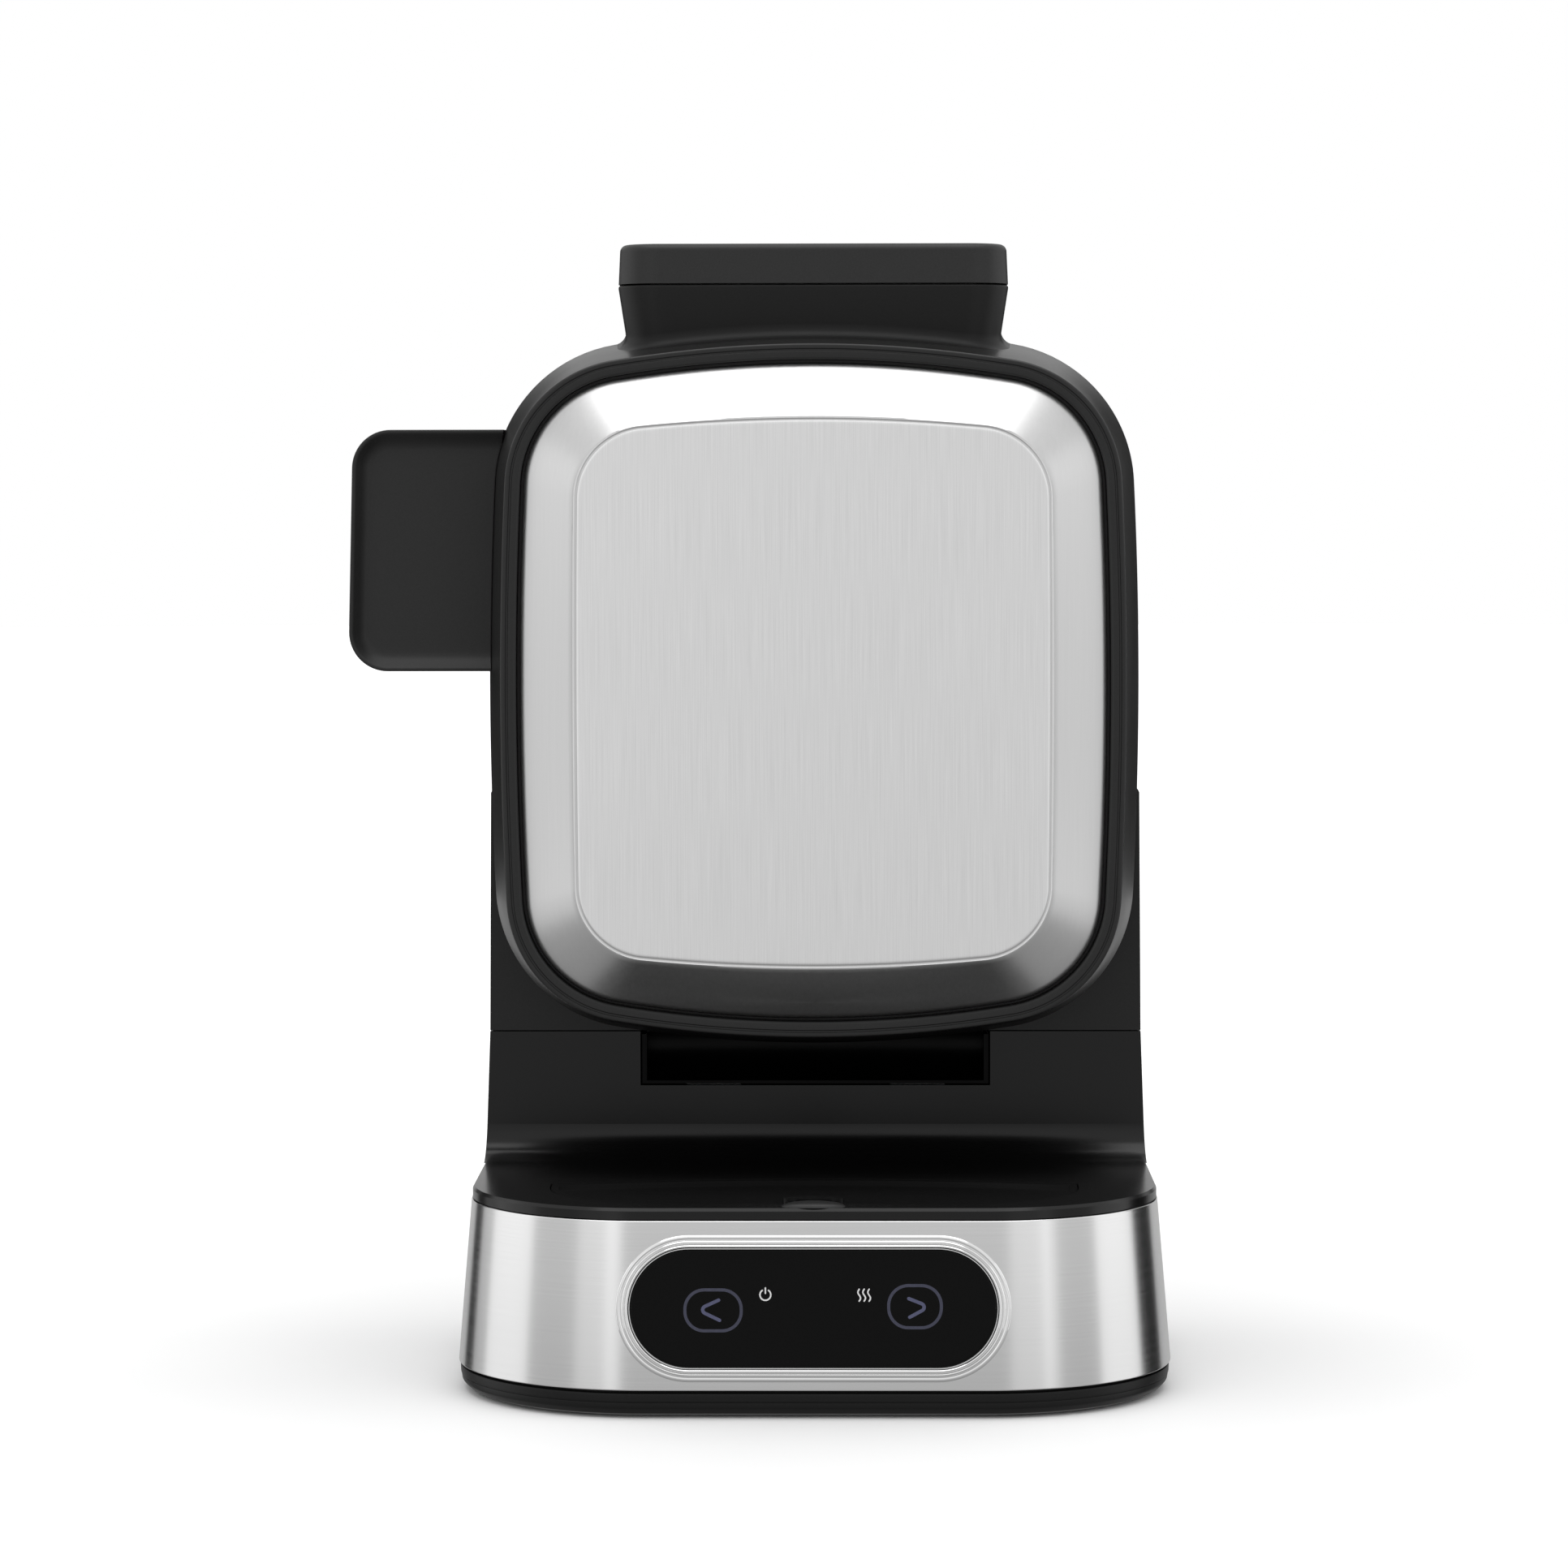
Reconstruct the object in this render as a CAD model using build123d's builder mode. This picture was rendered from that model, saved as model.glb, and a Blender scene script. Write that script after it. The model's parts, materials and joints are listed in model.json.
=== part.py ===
from build123d import *
from math import atan2, cos, sin, sqrt
import os

os.makedirs("parts", exist_ok=True)

# Frame: +Z up, the front faces -Y, the origin is on the table under the middle of the base.

# ------------------------------------------------------------ driving dimensions (mm)
# Base
BASE_HALF_W = 119.2          # at the foot of the steel band
BASE_HALF_D = 100.0
FRONT_CORNER = 64.0
REAR_CORNER = 50.0
COVER_Z = 0.8                # underside of the bottom cover
TRIM_Z = 5.5                 # black trim strip above the cover
GAP_Z = 8.3                  # shadow gap between trim strip and band
BAND_Z = 9.3
BAND_TOP = 64.0
BAND_INSET = 4.6             # draft of the band, foot to top
BAND_THICK = 0.9
FLOOR_TOP = 12.0             # top of the chassis floor
DECK_Z = 68.0
DECK_INSET = 4.9

# Column
NECK_Y = 25.0                # front face of neck and column
NECK_TOP = 112.3
NECK_FILLET = 12.0
COLUMN_TOP = 200.0
COLUMN_SPLIT = 60.0          # joint between front housing and back cover
NOTCH_HALF_W = 60.6
NOTCH_Z = 93.5
WALL = 3.0

# Head: every outline is an inset of the one at the front rim
HEAD_Z = 233.4
HEAD_HALF_W = 103.0
HEAD_HALF_H = 114.2
TOP_ARC = 400.0
SIDE_ARC = 1400.0
CORNER_ARC = 42.5
RIM_Y = -57.0
PARTING_Y = -14.0
HEAD_BACK_Y = 25.0
FLARE = -6.4                 # the door wall grows by this much towards the rear
RIM_OPENING = 5.2
STEEL_INSET = 6.2
STEEL_EDGE_Y = -55.5         # the steel's outer edge, just behind the rim
STEEL_FLANGE = 5.0
PLATEAU_Y = -70.0
FACE_GAP = 0.3               # each half of the head stands this far off the parting plane

# Spout and lid
SPOUT_Z = 367.5
SPOUT_HALF_W = 65.0
SPOUT_HALF_D = 28.0
SPOUT_FOOT_Z = 345.0
SPOUT_CORNER = 14.0
SPOUT_REAR_Y = PARTING_Y + SPOUT_HALF_D
LID_Z = 367.9
LID_TOP = 381.0
LID_AXIS_Y = 17.5
LID_AXIS_Z = 369.5
LINER_LOW = 364.8
LINER_HALF_W = 54.5
LINER_HALF_D = 19.0

# Door hinge
AXIS_Y = PARTING_Y
AXIS_Z = 127.0
PIN_R = 3.0
RUNNING = 0.05               # radial clearance of a running fit
HINGE_SHELF_Z = 135.5        # above this the rear shell reaches the parting plane
SWEEP_Y = 3.0                # below it the rear shell stays behind this depth

# Waffle plates
POCKET_HALF_W = 76.0
POCKET_LOW = 146.0
POCKET_HIGH = 318.0
FLANGE_HALF_W = 86.0
FLANGE_LOW = 139.5
FLANGE_HIGH = 336.0
PLATE_FLANGE = 3.0
STUD_COLUMNS = 5
STUD_ROWS = 6
STUD = 21.0
STUD_HEIGHT = 12.0
REAR_FLOOR_Y = 2.6
DOOR_FLOOR_Y = -30.6
PLATE_FLOOR = 3.0
CHANNEL_HALF_W = 25.0

# Handle
HANDLE_TIP_X = -156.5
HANDLE_LOW = 239.0
HANDLE_HIGH = 320.0
HANDLE_FRONT_Y = -22.0
HANDLE_JOINT_Y = -13.0
HANDLE_BACK_Y = 6.0
HANDLE_CORNER = 13.0
DISH_EDGE = 1.0
DISH_BORDER = 6.3
DISH_DEPTH = 3.5
TONGUE_LOW = 262.0
TONGUE_HIGH = 298.0

# Control panel
PANEL_Z = 35.8
LENS_W = 119.0
LENS_H = 38.4
BEZEL_W = 128.0
BEZEL_H = 47.0

PANEL_TILT = atan2(BAND_INSET, BAND_TOP - BAND_Z)
PANEL_Y = -BASE_HALF_D + (PANEL_Z - BAND_Z) * BAND_INSET / (BAND_TOP - BAND_Z)


# ------------------------------------------------------------ planes and outlines
def level(z):
    """Horizontal sketch plane at height z."""
    return Plane.XY.offset(z)


def depth(y, z=HEAD_Z):
    """Sketch plane that faces the front at depth y, centred on the head."""
    return Plane(origin=(0, y, z), x_dir=(1, 0, 0), z_dir=(0, -1, 0))


def side(x):
    """Sketch plane that faces +X; its own axes are Y and Z."""
    return Plane(origin=(x, 0, 0), x_dir=(0, 1, 0), z_dir=(1, 0, 0))


def panel(lift=0.0):
    """Sketch plane on the drafted front of the base, lifted off it by lift."""
    normal = Vector(0, -cos(PANEL_TILT), sin(PANEL_TILT))
    return Plane(origin=Vector(0, PANEL_Y, PANEL_Z) + normal * lift, x_dir=(1, 0, 0), z_dir=normal)


def base_plan(inset, mode=Mode.ADD):
    """Plan of the base: wider corner radii at the front than at the rear."""
    w = BASE_HALF_W - inset
    d = BASE_HALF_D - inset
    front = FRONT_CORNER - inset
    rear = REAR_CORNER - inset
    with BuildLine() as outline:
        FilletPolyline((-w, -d), (w, -d), (w, d), (-w, d), radius=(front, front, rear, rear), close=True)
    make_face(outline.line, mode=mode)


def squircle(half_w, half_h, top_arc, side_arc, corner_arc, mode=Mode.ADD):
    """Closed outline of eight tangent arcs: long ones along the edges, tight ones at the corners."""
    top_centre = Vector(0, half_h - top_arc)
    side_centre = Vector(half_w - side_arc, 0)
    to_top = top_arc - corner_arc
    to_side = side_arc - corner_arc
    span = side_centre - top_centre
    along = (to_top**2 - to_side**2 + span.length**2) / (2 * span.length)
    across = sqrt(to_top**2 - along**2)
    unit = span.normalized()
    corner = top_centre + unit * along + Vector(unit.Y, -unit.X) * across
    if corner.X < 0:
        corner = top_centre + unit * along - Vector(unit.Y, -unit.X) * across
    top_dir = (corner - top_centre).normalized()
    side_dir = (corner - side_centre).normalized()
    top_end = corner + top_dir * corner_arc
    side_end = corner + side_dir * corner_arc
    middle = corner + (top_dir + side_dir).normalized() * corner_arc
    with BuildLine() as outline:
        ThreePointArc((-top_end.X, top_end.Y), (0, half_h), (top_end.X, top_end.Y))
        ThreePointArc((top_end.X, top_end.Y), (middle.X, middle.Y), (side_end.X, side_end.Y))
        ThreePointArc((side_end.X, side_end.Y), (half_w, 0), (side_end.X, -side_end.Y))
        ThreePointArc((side_end.X, -side_end.Y), (middle.X, -middle.Y), (top_end.X, -top_end.Y))
        ThreePointArc((top_end.X, -top_end.Y), (0, -half_h), (-top_end.X, -top_end.Y))
        ThreePointArc((-top_end.X, -top_end.Y), (-middle.X, -middle.Y), (-side_end.X, -side_end.Y))
        ThreePointArc((-side_end.X, -side_end.Y), (-half_w, 0), (-side_end.X, side_end.Y))
        ThreePointArc((-side_end.X, side_end.Y), (-middle.X, middle.Y), (-top_end.X, top_end.Y))
    make_face(outline.line, mode=mode)


def head_outline(inset, mode=Mode.ADD):
    """Outline of the head, offset inwards from the front rim."""
    squircle(
        HEAD_HALF_W - inset,
        HEAD_HALF_H - inset,
        TOP_ARC - inset,
        SIDE_ARC - inset,
        CORNER_ARC - inset,
        mode=mode,
    )


def plateau_outline(inset):
    """Outline of the raised centre of the steel face."""
    squircle(78.4 - inset, 90.0 - inset, 577 - inset, 5000 - inset, 24.3 - inset)


def flare_at(y):
    """Inset of the door wall's outer surface at depth y."""
    return FLARE * (y - RIM_Y) / (PARTING_Y - RIM_Y)


def base_loft(low, low_inset, high, high_inset, mode=Mode.ADD):
    """Drafted solid between two plans of the base."""
    with BuildSketch(level(low)) as foot:
        base_plan(low_inset)
    with BuildSketch(level(high)) as top:
        base_plan(high_inset)
    loft(sections=[foot.sketch, top.sketch], mode=mode)


def head_loft(sections, mode=Mode.ADD):
    """Solid through head outlines given as (depth, inset) pairs, from the rear forwards."""
    for (rear_y, rear_inset), (front_y, front_inset) in zip(sections, sections[1:]):
        with BuildSketch(depth(rear_y)) as rear:
            head_outline(rear_inset)
        with BuildSketch(depth(front_y)) as front:
            head_outline(front_inset)
        loft(sections=[rear.sketch, front.sketch], mode=mode)


def box_at(low, high, mode=Mode.ADD):
    """Box between two corners."""
    centre = tuple((a + b) / 2 for a, b in zip(low, high))
    size = [b - a for a, b in zip(low, high)]
    with Locations(centre):
        Box(*size, mode=mode)


def rod_x(centre, radius, x_low, x_high, mode=Mode.ADD):
    """Round bar along X; centre is (y, z)."""
    with BuildSketch(side(x_low)) as disc:
        with Locations(centre):
            Circle(radius)
    extrude(disc.sketch, amount=x_high - x_low, mode=mode)


def rod_y(centre, radius, y_front, y_rear, mode=Mode.ADD):
    """Round bar along Y; centre is (x, z)."""
    with BuildSketch(depth(y_rear, 0)) as disc:
        with Locations(centre):
            Circle(radius)
    extrude(disc.sketch, amount=y_rear - y_front, mode=mode)


# ------------------------------------------------------------ base
with BuildPart() as nonslip_ring:
    with BuildSketch(level(0)):
        base_plan(14)
        base_plan(20, mode=Mode.SUBTRACT)
    extrude(amount=COVER_Z)
nonslip_ring.part.label = "nonslip_ring"
export_step(nonslip_ring.part, "parts/nonslip_ring.step")

SCREW_SPOTS = [(x, y) for x in (-84, 84) for y in (-62, 66)]

with BuildPart() as bottom_cover:
    base_loft(COVER_Z, 5.0, 1.8, 3.0)
    base_loft(1.8, 3.0, 3.6, 1.6)
    base_loft(3.6, 1.6, TRIM_Z, 1.0)
    base_loft(COVER_Z + 2.2, 6.0, TRIM_Z, 6.0, mode=Mode.SUBTRACT)
    with BuildSketch(level(COVER_Z)):
        with GridLocations(16, 0, 7, 1):
            SlotOverall(40, 4, rotation=90)
    extrude(amount=WALL, mode=Mode.SUBTRACT)
    with Locations([(x, y, COVER_Z + 2.2) for x, y in SCREW_SPOTS]):
        Cylinder(5, 1.6, align=(Align.CENTER, Align.CENTER, Align.MIN))
        Cylinder(1.8, 12, mode=Mode.SUBTRACT)
bottom_cover.part.label = "bottom_cover"
export_step(bottom_cover.part, "parts/bottom_cover.step")

GLAND_X = 60.0
GLAND_Z = 25.0
GLAND_BORE = 3.7

with BuildPart() as base_frame:
    base_loft(TRIM_Z, 0.8, GAP_Z, 0.7)
    base_loft(GAP_Z, 3.0, BAND_Z, 3.0)
    base_loft(BAND_Z, 1.2, BAND_TOP, BAND_INSET + 1.2)
    base_loft(FLOOR_TOP, 3.6, BAND_TOP, BAND_INSET + 3.4, mode=Mode.SUBTRACT)
    base_loft(TRIM_Z, 7.5, 9.5, 7.5, mode=Mode.SUBTRACT)
    with BuildSketch(panel(4)):
        Rectangle(128.5, 48)
    extrude(amount=-14, mode=Mode.SUBTRACT)
    rod_y((GLAND_X, GLAND_Z), 7.2, 85, 104, mode=Mode.SUBTRACT)
    with Locations([(x, y, 5.5) for x, y in SCREW_SPOTS]):
        Cylinder(5, 4.2, align=(Align.CENTER, Align.CENTER, Align.MIN))
        Cylinder(1.4, 5.6, align=(Align.CENTER, Align.CENTER, Align.MIN), mode=Mode.SUBTRACT)
    with Locations([(x, y, FLOOR_TOP) for x in (-72, 12) for y in (-44, 16)]):
        Cylinder(3.5, 5.9, align=(Align.CENTER, Align.CENTER, Align.MIN))
base_frame.part.label = "base_frame"
export_step(base_frame.part, "parts/base_frame.step")

with BuildPart() as base_screws:
    with Locations([(x, y, COVER_Z + 0.4) for x, y in SCREW_SPOTS]):
        Cylinder(1.35, 7.4, align=(Align.CENTER, Align.CENTER, Align.MIN))
base_screws.part.label = "base_screws"
export_step(base_screws.part, "parts/base_screws.step")

with BuildPart() as steel_band:
    base_loft(BAND_Z, 0, BAND_TOP, BAND_INSET)
    base_loft(BAND_Z, BAND_THICK, BAND_TOP, BAND_INSET + BAND_THICK, mode=Mode.SUBTRACT)
    with BuildSketch(panel(4)):
        SlotOverall(125.4, 44.8)
    extrude(amount=-14, mode=Mode.SUBTRACT)
    rod_y((GLAND_X, GLAND_Z), 7.2, 85, 104, mode=Mode.SUBTRACT)
steel_band.part.label = "steel_band"
export_step(steel_band.part, "parts/steel_band.step")

with BuildPart() as bezel_ring:
    for half_step, lift in ((0.0, 0.1), (1.4, 0.9), (2.8, 1.6)):
        with BuildSketch(panel(lift if half_step == 0 else lift - 0.8)):
            SlotOverall(BEZEL_W - 2 * half_step, BEZEL_H - 2 * half_step)
        extrude(amount=0.8)
    with BuildSketch(panel(0.2)):
        SlotOverall(125.0, 44.4)
    extrude(amount=-3.4)
    with BuildSketch(panel(4)):
        SlotOverall(LENS_W + 0.4, LENS_H + 0.4)
    extrude(amount=-12, mode=Mode.SUBTRACT)
bezel_ring.part.label = "bezel_ring"
export_step(bezel_ring.part, "parts/bezel_ring.step")

with BuildPart() as display_lens:
    with BuildSketch(panel(-2.0)):
        SlotOverall(LENS_W, LENS_H)
    extrude(amount=2.4)
display_lens.part.label = "display_lens"
export_step(display_lens.part, "parts/display_lens.step")

with BuildPart() as display_carrier:
    with BuildSketch(panel(-3.3)):
        RectangleRounded(126, 45.6, 4)
        RectangleRounded(LENS_W - 5, LENS_H - 6, 3, mode=Mode.SUBTRACT)
    extrude(amount=-6)
display_carrier.part.label = "display_carrier"
export_step(display_carrier.part, "parts/display_carrier.step")

with BuildPart() as display_board:
    with BuildSketch(panel(-5.2)):
        RectangleRounded(112, 31, 2)
    extrude(amount=-1.6)
    with BuildSketch(panel(-5.2)):
        with Locations((-33, 0), (33, 0)):
            Ellipse(9, 7)
    extrude(amount=1.4)
    with BuildSketch(panel(-6.8)):
        with Locations((-20, 0), (10, 5), (28, -6)):
            Rectangle(11, 9)
    extrude(amount=-1.8)
display_board.part.label = "display_board"
export_step(display_board.part, "parts/display_board.step")

with BuildPart() as power_board:
    box_at((-78, -50, FLOOR_TOP + 6), (18, 22, FLOOR_TOP + 7.6))
    box_at((-70, -44, FLOOR_TOP + 7.6), (-54, -24, FLOOR_TOP + 16))
    with Locations((0, -36, FLOOR_TOP + 7.6), (0, -20, FLOOR_TOP + 7.6)):
        Cylinder(5, 14, align=(Align.CENTER, Align.CENTER, Align.MIN))
power_board.part.label = "power_board"
export_step(power_board.part, "parts/power_board.step")

with BuildPart() as relay:
    box_at((-30, -40, FLOOR_TOP + 7.7), (-12, -18, FLOOR_TOP + 24))
    fillet(relay.edges().filter_by(Axis.Z), 1.0)
relay.part.label = "relay"
export_step(relay.part, "parts/relay.step")

with BuildPart() as transformer:
    box_at((-68, -10, FLOOR_TOP + 7.7), (-40, 14, FLOOR_TOP + 28))
    box_at((-62, -14, FLOOR_TOP + 11), (-46, 18, FLOOR_TOP + 25))
transformer.part.label = "transformer"
export_step(transformer.part, "parts/transformer.step")

with BuildPart() as terminal_block:
    box_at((42, 20, FLOOR_TOP + 0.1), (78, 36, FLOOR_TOP + 12))
    with Locations([(x, 28, FLOOR_TOP + 12) for x in (48, 60, 72)]):
        Cylinder(2.6, 12, mode=Mode.SUBTRACT)
terminal_block.part.label = "terminal_block"
export_step(terminal_block.part, "parts/terminal_block.step")

with BuildPart() as cord_gland:
    rod_y((GLAND_X, GLAND_Z), 7.0, 92.0, 100.4)
    rod_y((GLAND_X, GLAND_Z), 10.5, 99.8, 103.0)
    rod_y((GLAND_X, GLAND_Z), 9.0, 92.0, 94.2)
    rod_y((GLAND_X, GLAND_Z), GLAND_BORE, 90, 106, mode=Mode.SUBTRACT)
cord_gland.part.label = "cord_gland"
export_step(cord_gland.part, "parts/cord_gland.step")

TRAY_HALF_W = 88.0
TRAY_FRONT = -86.0
TRAY_REAR = -26.0


def tray_outline(inset):
    """Outline of the drip tray: straight front, bowed rear, round front corners."""
    w = TRAY_HALF_W - inset
    front = TRAY_FRONT + inset
    rear = TRAY_REAR - inset
    corner = 40.0 - inset
    with BuildLine() as outline:
        Line((-w + corner, front), (w - corner, front))
        JernArc((w - corner, front), (1, 0), corner, 90)
        Line((w, front + corner), (w, rear - 12))
        ThreePointArc((w, rear - 12), (0, rear), (-w, rear - 12))
        Line((-w, rear - 12), (-w, front + corner))
        JernArc((-w, front + corner), (0, -1), corner, 90)
    make_face(outline.line)


# hollow of the neck, open to the base below and to the column above
with BuildPart() as neck_hollow:
    base_loft(BAND_TOP, DECK_INSET + WALL, NECK_TOP + 1, DECK_INSET + 1.6 + WALL)
    box_at((-130, -130, 0), (130, NECK_Y + WALL, 200), mode=Mode.SUBTRACT)

with BuildPart() as upper_housing:
    base_loft(BAND_TOP + 0.3, DECK_INSET, DECK_Z - 1.0, DECK_INSET)
    base_loft(DECK_Z - 1.0, DECK_INSET, DECK_Z, DECK_INSET + 0.7)
    base_loft(DECK_Z, DECK_INSET, NECK_TOP, DECK_INSET + 1.6)
    with BuildSketch(side(-BASE_HALF_W)):
        with BuildLine():
            Line((-120, DECK_Z), (NECK_Y - NECK_FILLET, DECK_Z))
            JernArc((NECK_Y - NECK_FILLET, DECK_Z), (1, 0), NECK_FILLET, 90)
            Line((NECK_Y, DECK_Z + NECK_FILLET), (NECK_Y, NECK_TOP + 1))
            Line((NECK_Y, NECK_TOP + 1), (-120, NECK_TOP + 1))
            Line((-120, NECK_TOP + 1), (-120, DECK_Z))
        make_face()
    extrude(amount=2 * BASE_HALF_W, mode=Mode.SUBTRACT)
    add(neck_hollow.part, mode=Mode.SUBTRACT)
    # notch under the head
    box_at(
        (-NOTCH_HALF_W, NECK_Y - 1, NOTCH_Z),
        (NOTCH_HALF_W, NECK_Y + WALL + 1, NECK_TOP + 1),
        mode=Mode.SUBTRACT,
    )
    # seat of the drip tray
    with BuildSketch(level(DECK_Z - 1.8)):
        tray_outline(0)
    extrude(amount=4, mode=Mode.SUBTRACT)
upper_housing.part.label = "upper_housing"
export_step(upper_housing.part, "parts/upper_housing.step")

with BuildPart() as drip_tray:
    with BuildSketch(level(DECK_Z - 1.8)):
        tray_outline(0.4)
    extrude(amount=1.7)
    with BuildSketch(level(DECK_Z - 1.0)):
        tray_outline(3.0)
    extrude(amount=3, mode=Mode.SUBTRACT)
    with BuildSketch(level(DECK_Z - 1.0)):
        with Locations((0, TRAY_FRONT + 5.5)):
            Ellipse(10, 4.5)
    extrude(amount=2.4)
drip_tray.part.label = "drip_tray"
export_step(drip_tray.part, "parts/drip_tray.step")

# ------------------------------------------------------------ column
COLUMN_PLAN = DECK_INSET + 1.6       # inset of the base plan that the column follows


def column_profile(inset):
    """Side view of the column: upright front and back, and one large round over the top at the back."""
    rear = BASE_HALF_D - COLUMN_PLAN - inset
    front = NECK_Y + 0.3 + inset
    top = COLUMN_TOP - inset
    shoulder = 50.0 - inset
    nose = 4.0
    with BuildLine() as outline:
        Line((front, NECK_TOP - 1), (rear, NECK_TOP - 1))
        Line((rear, NECK_TOP - 1), (rear, top - shoulder))
        JernArc((rear, top - shoulder), (0, 1), shoulder, 90)
        Line((rear - shoulder, top), (front + nose, top))
        JernArc((front + nose, top), (-1, 0), nose, 90)
        Line((front, top - nose), (front, NECK_TOP - 1))
    make_face(outline.line)


def column_solid(inset, low):
    """The column's outer form, or with an inset the hollow inside it."""
    base_loft(low, COLUMN_PLAN + inset, COLUMN_TOP, COLUMN_PLAN + 0.7 + inset)
    with BuildSketch(side(-BASE_HALF_W)) as profile:
        column_profile(inset)
    extrude(profile.sketch, amount=2 * BASE_HALF_W, mode=Mode.INTERSECT)
    half_w = BASE_HALF_W - COLUMN_PLAN - inset
    shoulder = 8.0 - inset
    with BuildSketch(depth(BASE_HALF_D, 0)) as front_view:
        with BuildLine() as outline:
            FilletPolyline(
                (-half_w, low),
                (-half_w, COLUMN_TOP - inset),
                (half_w, COLUMN_TOP - inset),
                (half_w, low),
                radius=(shoulder, shoulder),
            )
            Line((half_w, low), (-half_w, low))
        make_face(outline.line)
    extrude(front_view.sketch, amount=2 * BASE_HALF_D, mode=Mode.INTERSECT)


with BuildPart() as column_hollow:
    column_solid(WALL, NECK_TOP)

with BuildPart() as column_shell:
    column_solid(0, NECK_TOP + 0.4)
    add(column_hollow.part, mode=Mode.SUBTRACT)
    box_at((-40, NECK_Y - 2, 114), (40, NECK_Y + WALL + 1, 190), mode=Mode.SUBTRACT)

with BuildPart() as column_housing:
    add(column_shell.part)
    split(bisect_by=Plane.XZ.offset(-COLUMN_SPLIT), keep=Keep.TOP)
column_housing.part.label = "column_housing"
export_step(column_housing.part, "parts/column_housing.step")

with BuildPart() as column_back_cover:
    add(column_shell.part)
    split(bisect_by=Plane.XZ.offset(-COLUMN_SPLIT - 0.2), keep=Keep.BOTTOM)
    with BuildSketch(Plane(origin=(0, 100, 150), x_dir=(1, 0, 0), z_dir=(0, -1, 0))):
        with GridLocations(0, 8, 1, 5):
            SlotOverall(70, 3)
    extrude(amount=30, mode=Mode.SUBTRACT)
column_back_cover.part.label = "column_back_cover"
export_step(column_back_cover.part, "parts/column_back_cover.step")

COVER_FRONT = NECK_Y + 0.5
COVER_REAR = NECK_Y + 10.0
COVER_HALF_W = NOTCH_HALF_W - 0.6
with BuildPart() as hinge_cover:
    box_at((-COVER_HALF_W, COVER_FRONT, NOTCH_Z + 0.6), (COVER_HALF_W, COVER_REAR, NECK_TOP - 1))
    # scoop between two thin cheeks
    with BuildSketch(side(-COVER_HALF_W + 1.6)) as scoop:
        with BuildLine() as outline:
            ThreePointArc(
                (COVER_FRONT - 0.1, NOTCH_Z + 1.6),
                (NECK_Y + 6.4, NOTCH_Z + 5.6),
                (COVER_REAR - 1.5, NECK_TOP),
            )
            Line((COVER_REAR - 1.5, NECK_TOP), (COVER_FRONT - 0.1, NECK_TOP))
            Line((COVER_FRONT - 0.1, NECK_TOP), (COVER_FRONT - 0.1, NOTCH_Z + 1.6))
        make_face(outline.line)
    extrude(scoop.sketch, amount=2 * (COVER_HALF_W - 1.6), mode=Mode.SUBTRACT)
hinge_cover.part.label = "hinge_cover"
export_step(hinge_cover.part, "parts/hinge_cover.step")

SPINE_Y = 36.0
SPINE_SCREW_X = (-30, 30)
HINGE_SCREW_Z = 141.0
HEAD_SCREW_Z = 170.0
with BuildPart() as spine_frame:
    box_at((-45, SPINE_Y, FLOOR_TOP + 0.1), (45, SPINE_Y + 2.5, 192))
    box_at((-45, SPINE_Y, FLOOR_TOP + 0.1), (-42.5, SPINE_Y + 16, 192))
    box_at((42.5, SPINE_Y, FLOOR_TOP + 0.1), (45, SPINE_Y + 16, 192))
    box_at((-38, SPINE_Y, FLOOR_TOP + 0.1), (38, SPINE_Y + 40, FLOOR_TOP + 2.6))
    box_at((-26, SPINE_Y - 1, 80), (26, SPINE_Y + 4, 130), mode=Mode.SUBTRACT)
    for z in (HINGE_SCREW_Z, HEAD_SCREW_Z):
        box_at((-38, HEAD_BACK_Y + 0.1, z - 6), (38, SPINE_Y, z + 6))
        for x in SPINE_SCREW_X:
            rod_y((x, z), 2.02, HEAD_BACK_Y - 1, 34, mode=Mode.SUBTRACT)
spine_frame.part.label = "spine_frame"
export_step(spine_frame.part, "parts/spine_frame.step")


# ------------------------------------------------------------ spout and waffle plates
def spout_block(inset, low=SPOUT_FOOT_Z):
    """The spout's tapering outer form from height low to its rim."""
    with BuildSketch(level(low)) as foot:
        with Locations((0, PARTING_Y)):
            RectangleRounded(
                2 * (SPOUT_HALF_W - 3.4 - inset), 2 * (SPOUT_HALF_D - 3 - inset), SPOUT_CORNER - 1 - inset
            )
    with BuildSketch(level(SPOUT_Z)) as rim:
        with Locations((0, PARTING_Y)):
            RectangleRounded(2 * (SPOUT_HALF_W - inset), 2 * (SPOUT_HALF_D - inset), SPOUT_CORNER - inset)
    loft(sections=[foot.sketch, rim.sketch])


FUNNEL_FOOT = 336.2
FUNNEL_HALF_W = 60.0
FUNNEL_HALF_D = 23.5
CHANNEL_DEPTH = 6.6


def funnel(wall, top=SPOUT_Z, mode=Mode.ADD):
    """Funnel from the channel up to height top; wall is added all round."""
    rise = (top - FUNNEL_FOOT) / (SPOUT_Z - FUNNEL_FOOT)
    top_half_w = CHANNEL_HALF_W + (FUNNEL_HALF_W - CHANNEL_HALF_W) * rise
    top_half_d = CHANNEL_DEPTH + (FUNNEL_HALF_D - CHANNEL_DEPTH) * rise
    with BuildSketch(level(FUNNEL_FOOT)) as foot:
        with Locations((0, PARTING_Y)):
            RectangleRounded(2 * (CHANNEL_HALF_W + wall), 2 * (CHANNEL_DEPTH + wall), 4 + wall)
    with BuildSketch(level(top)) as rim:
        with Locations((0, PARTING_Y)):
            RectangleRounded(2 * (top_half_w + wall), 2 * (top_half_d + wall), 4 + 6 * rise + wall)
    loft(sections=[foot.sketch, rim.sketch], mode=mode)


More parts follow.
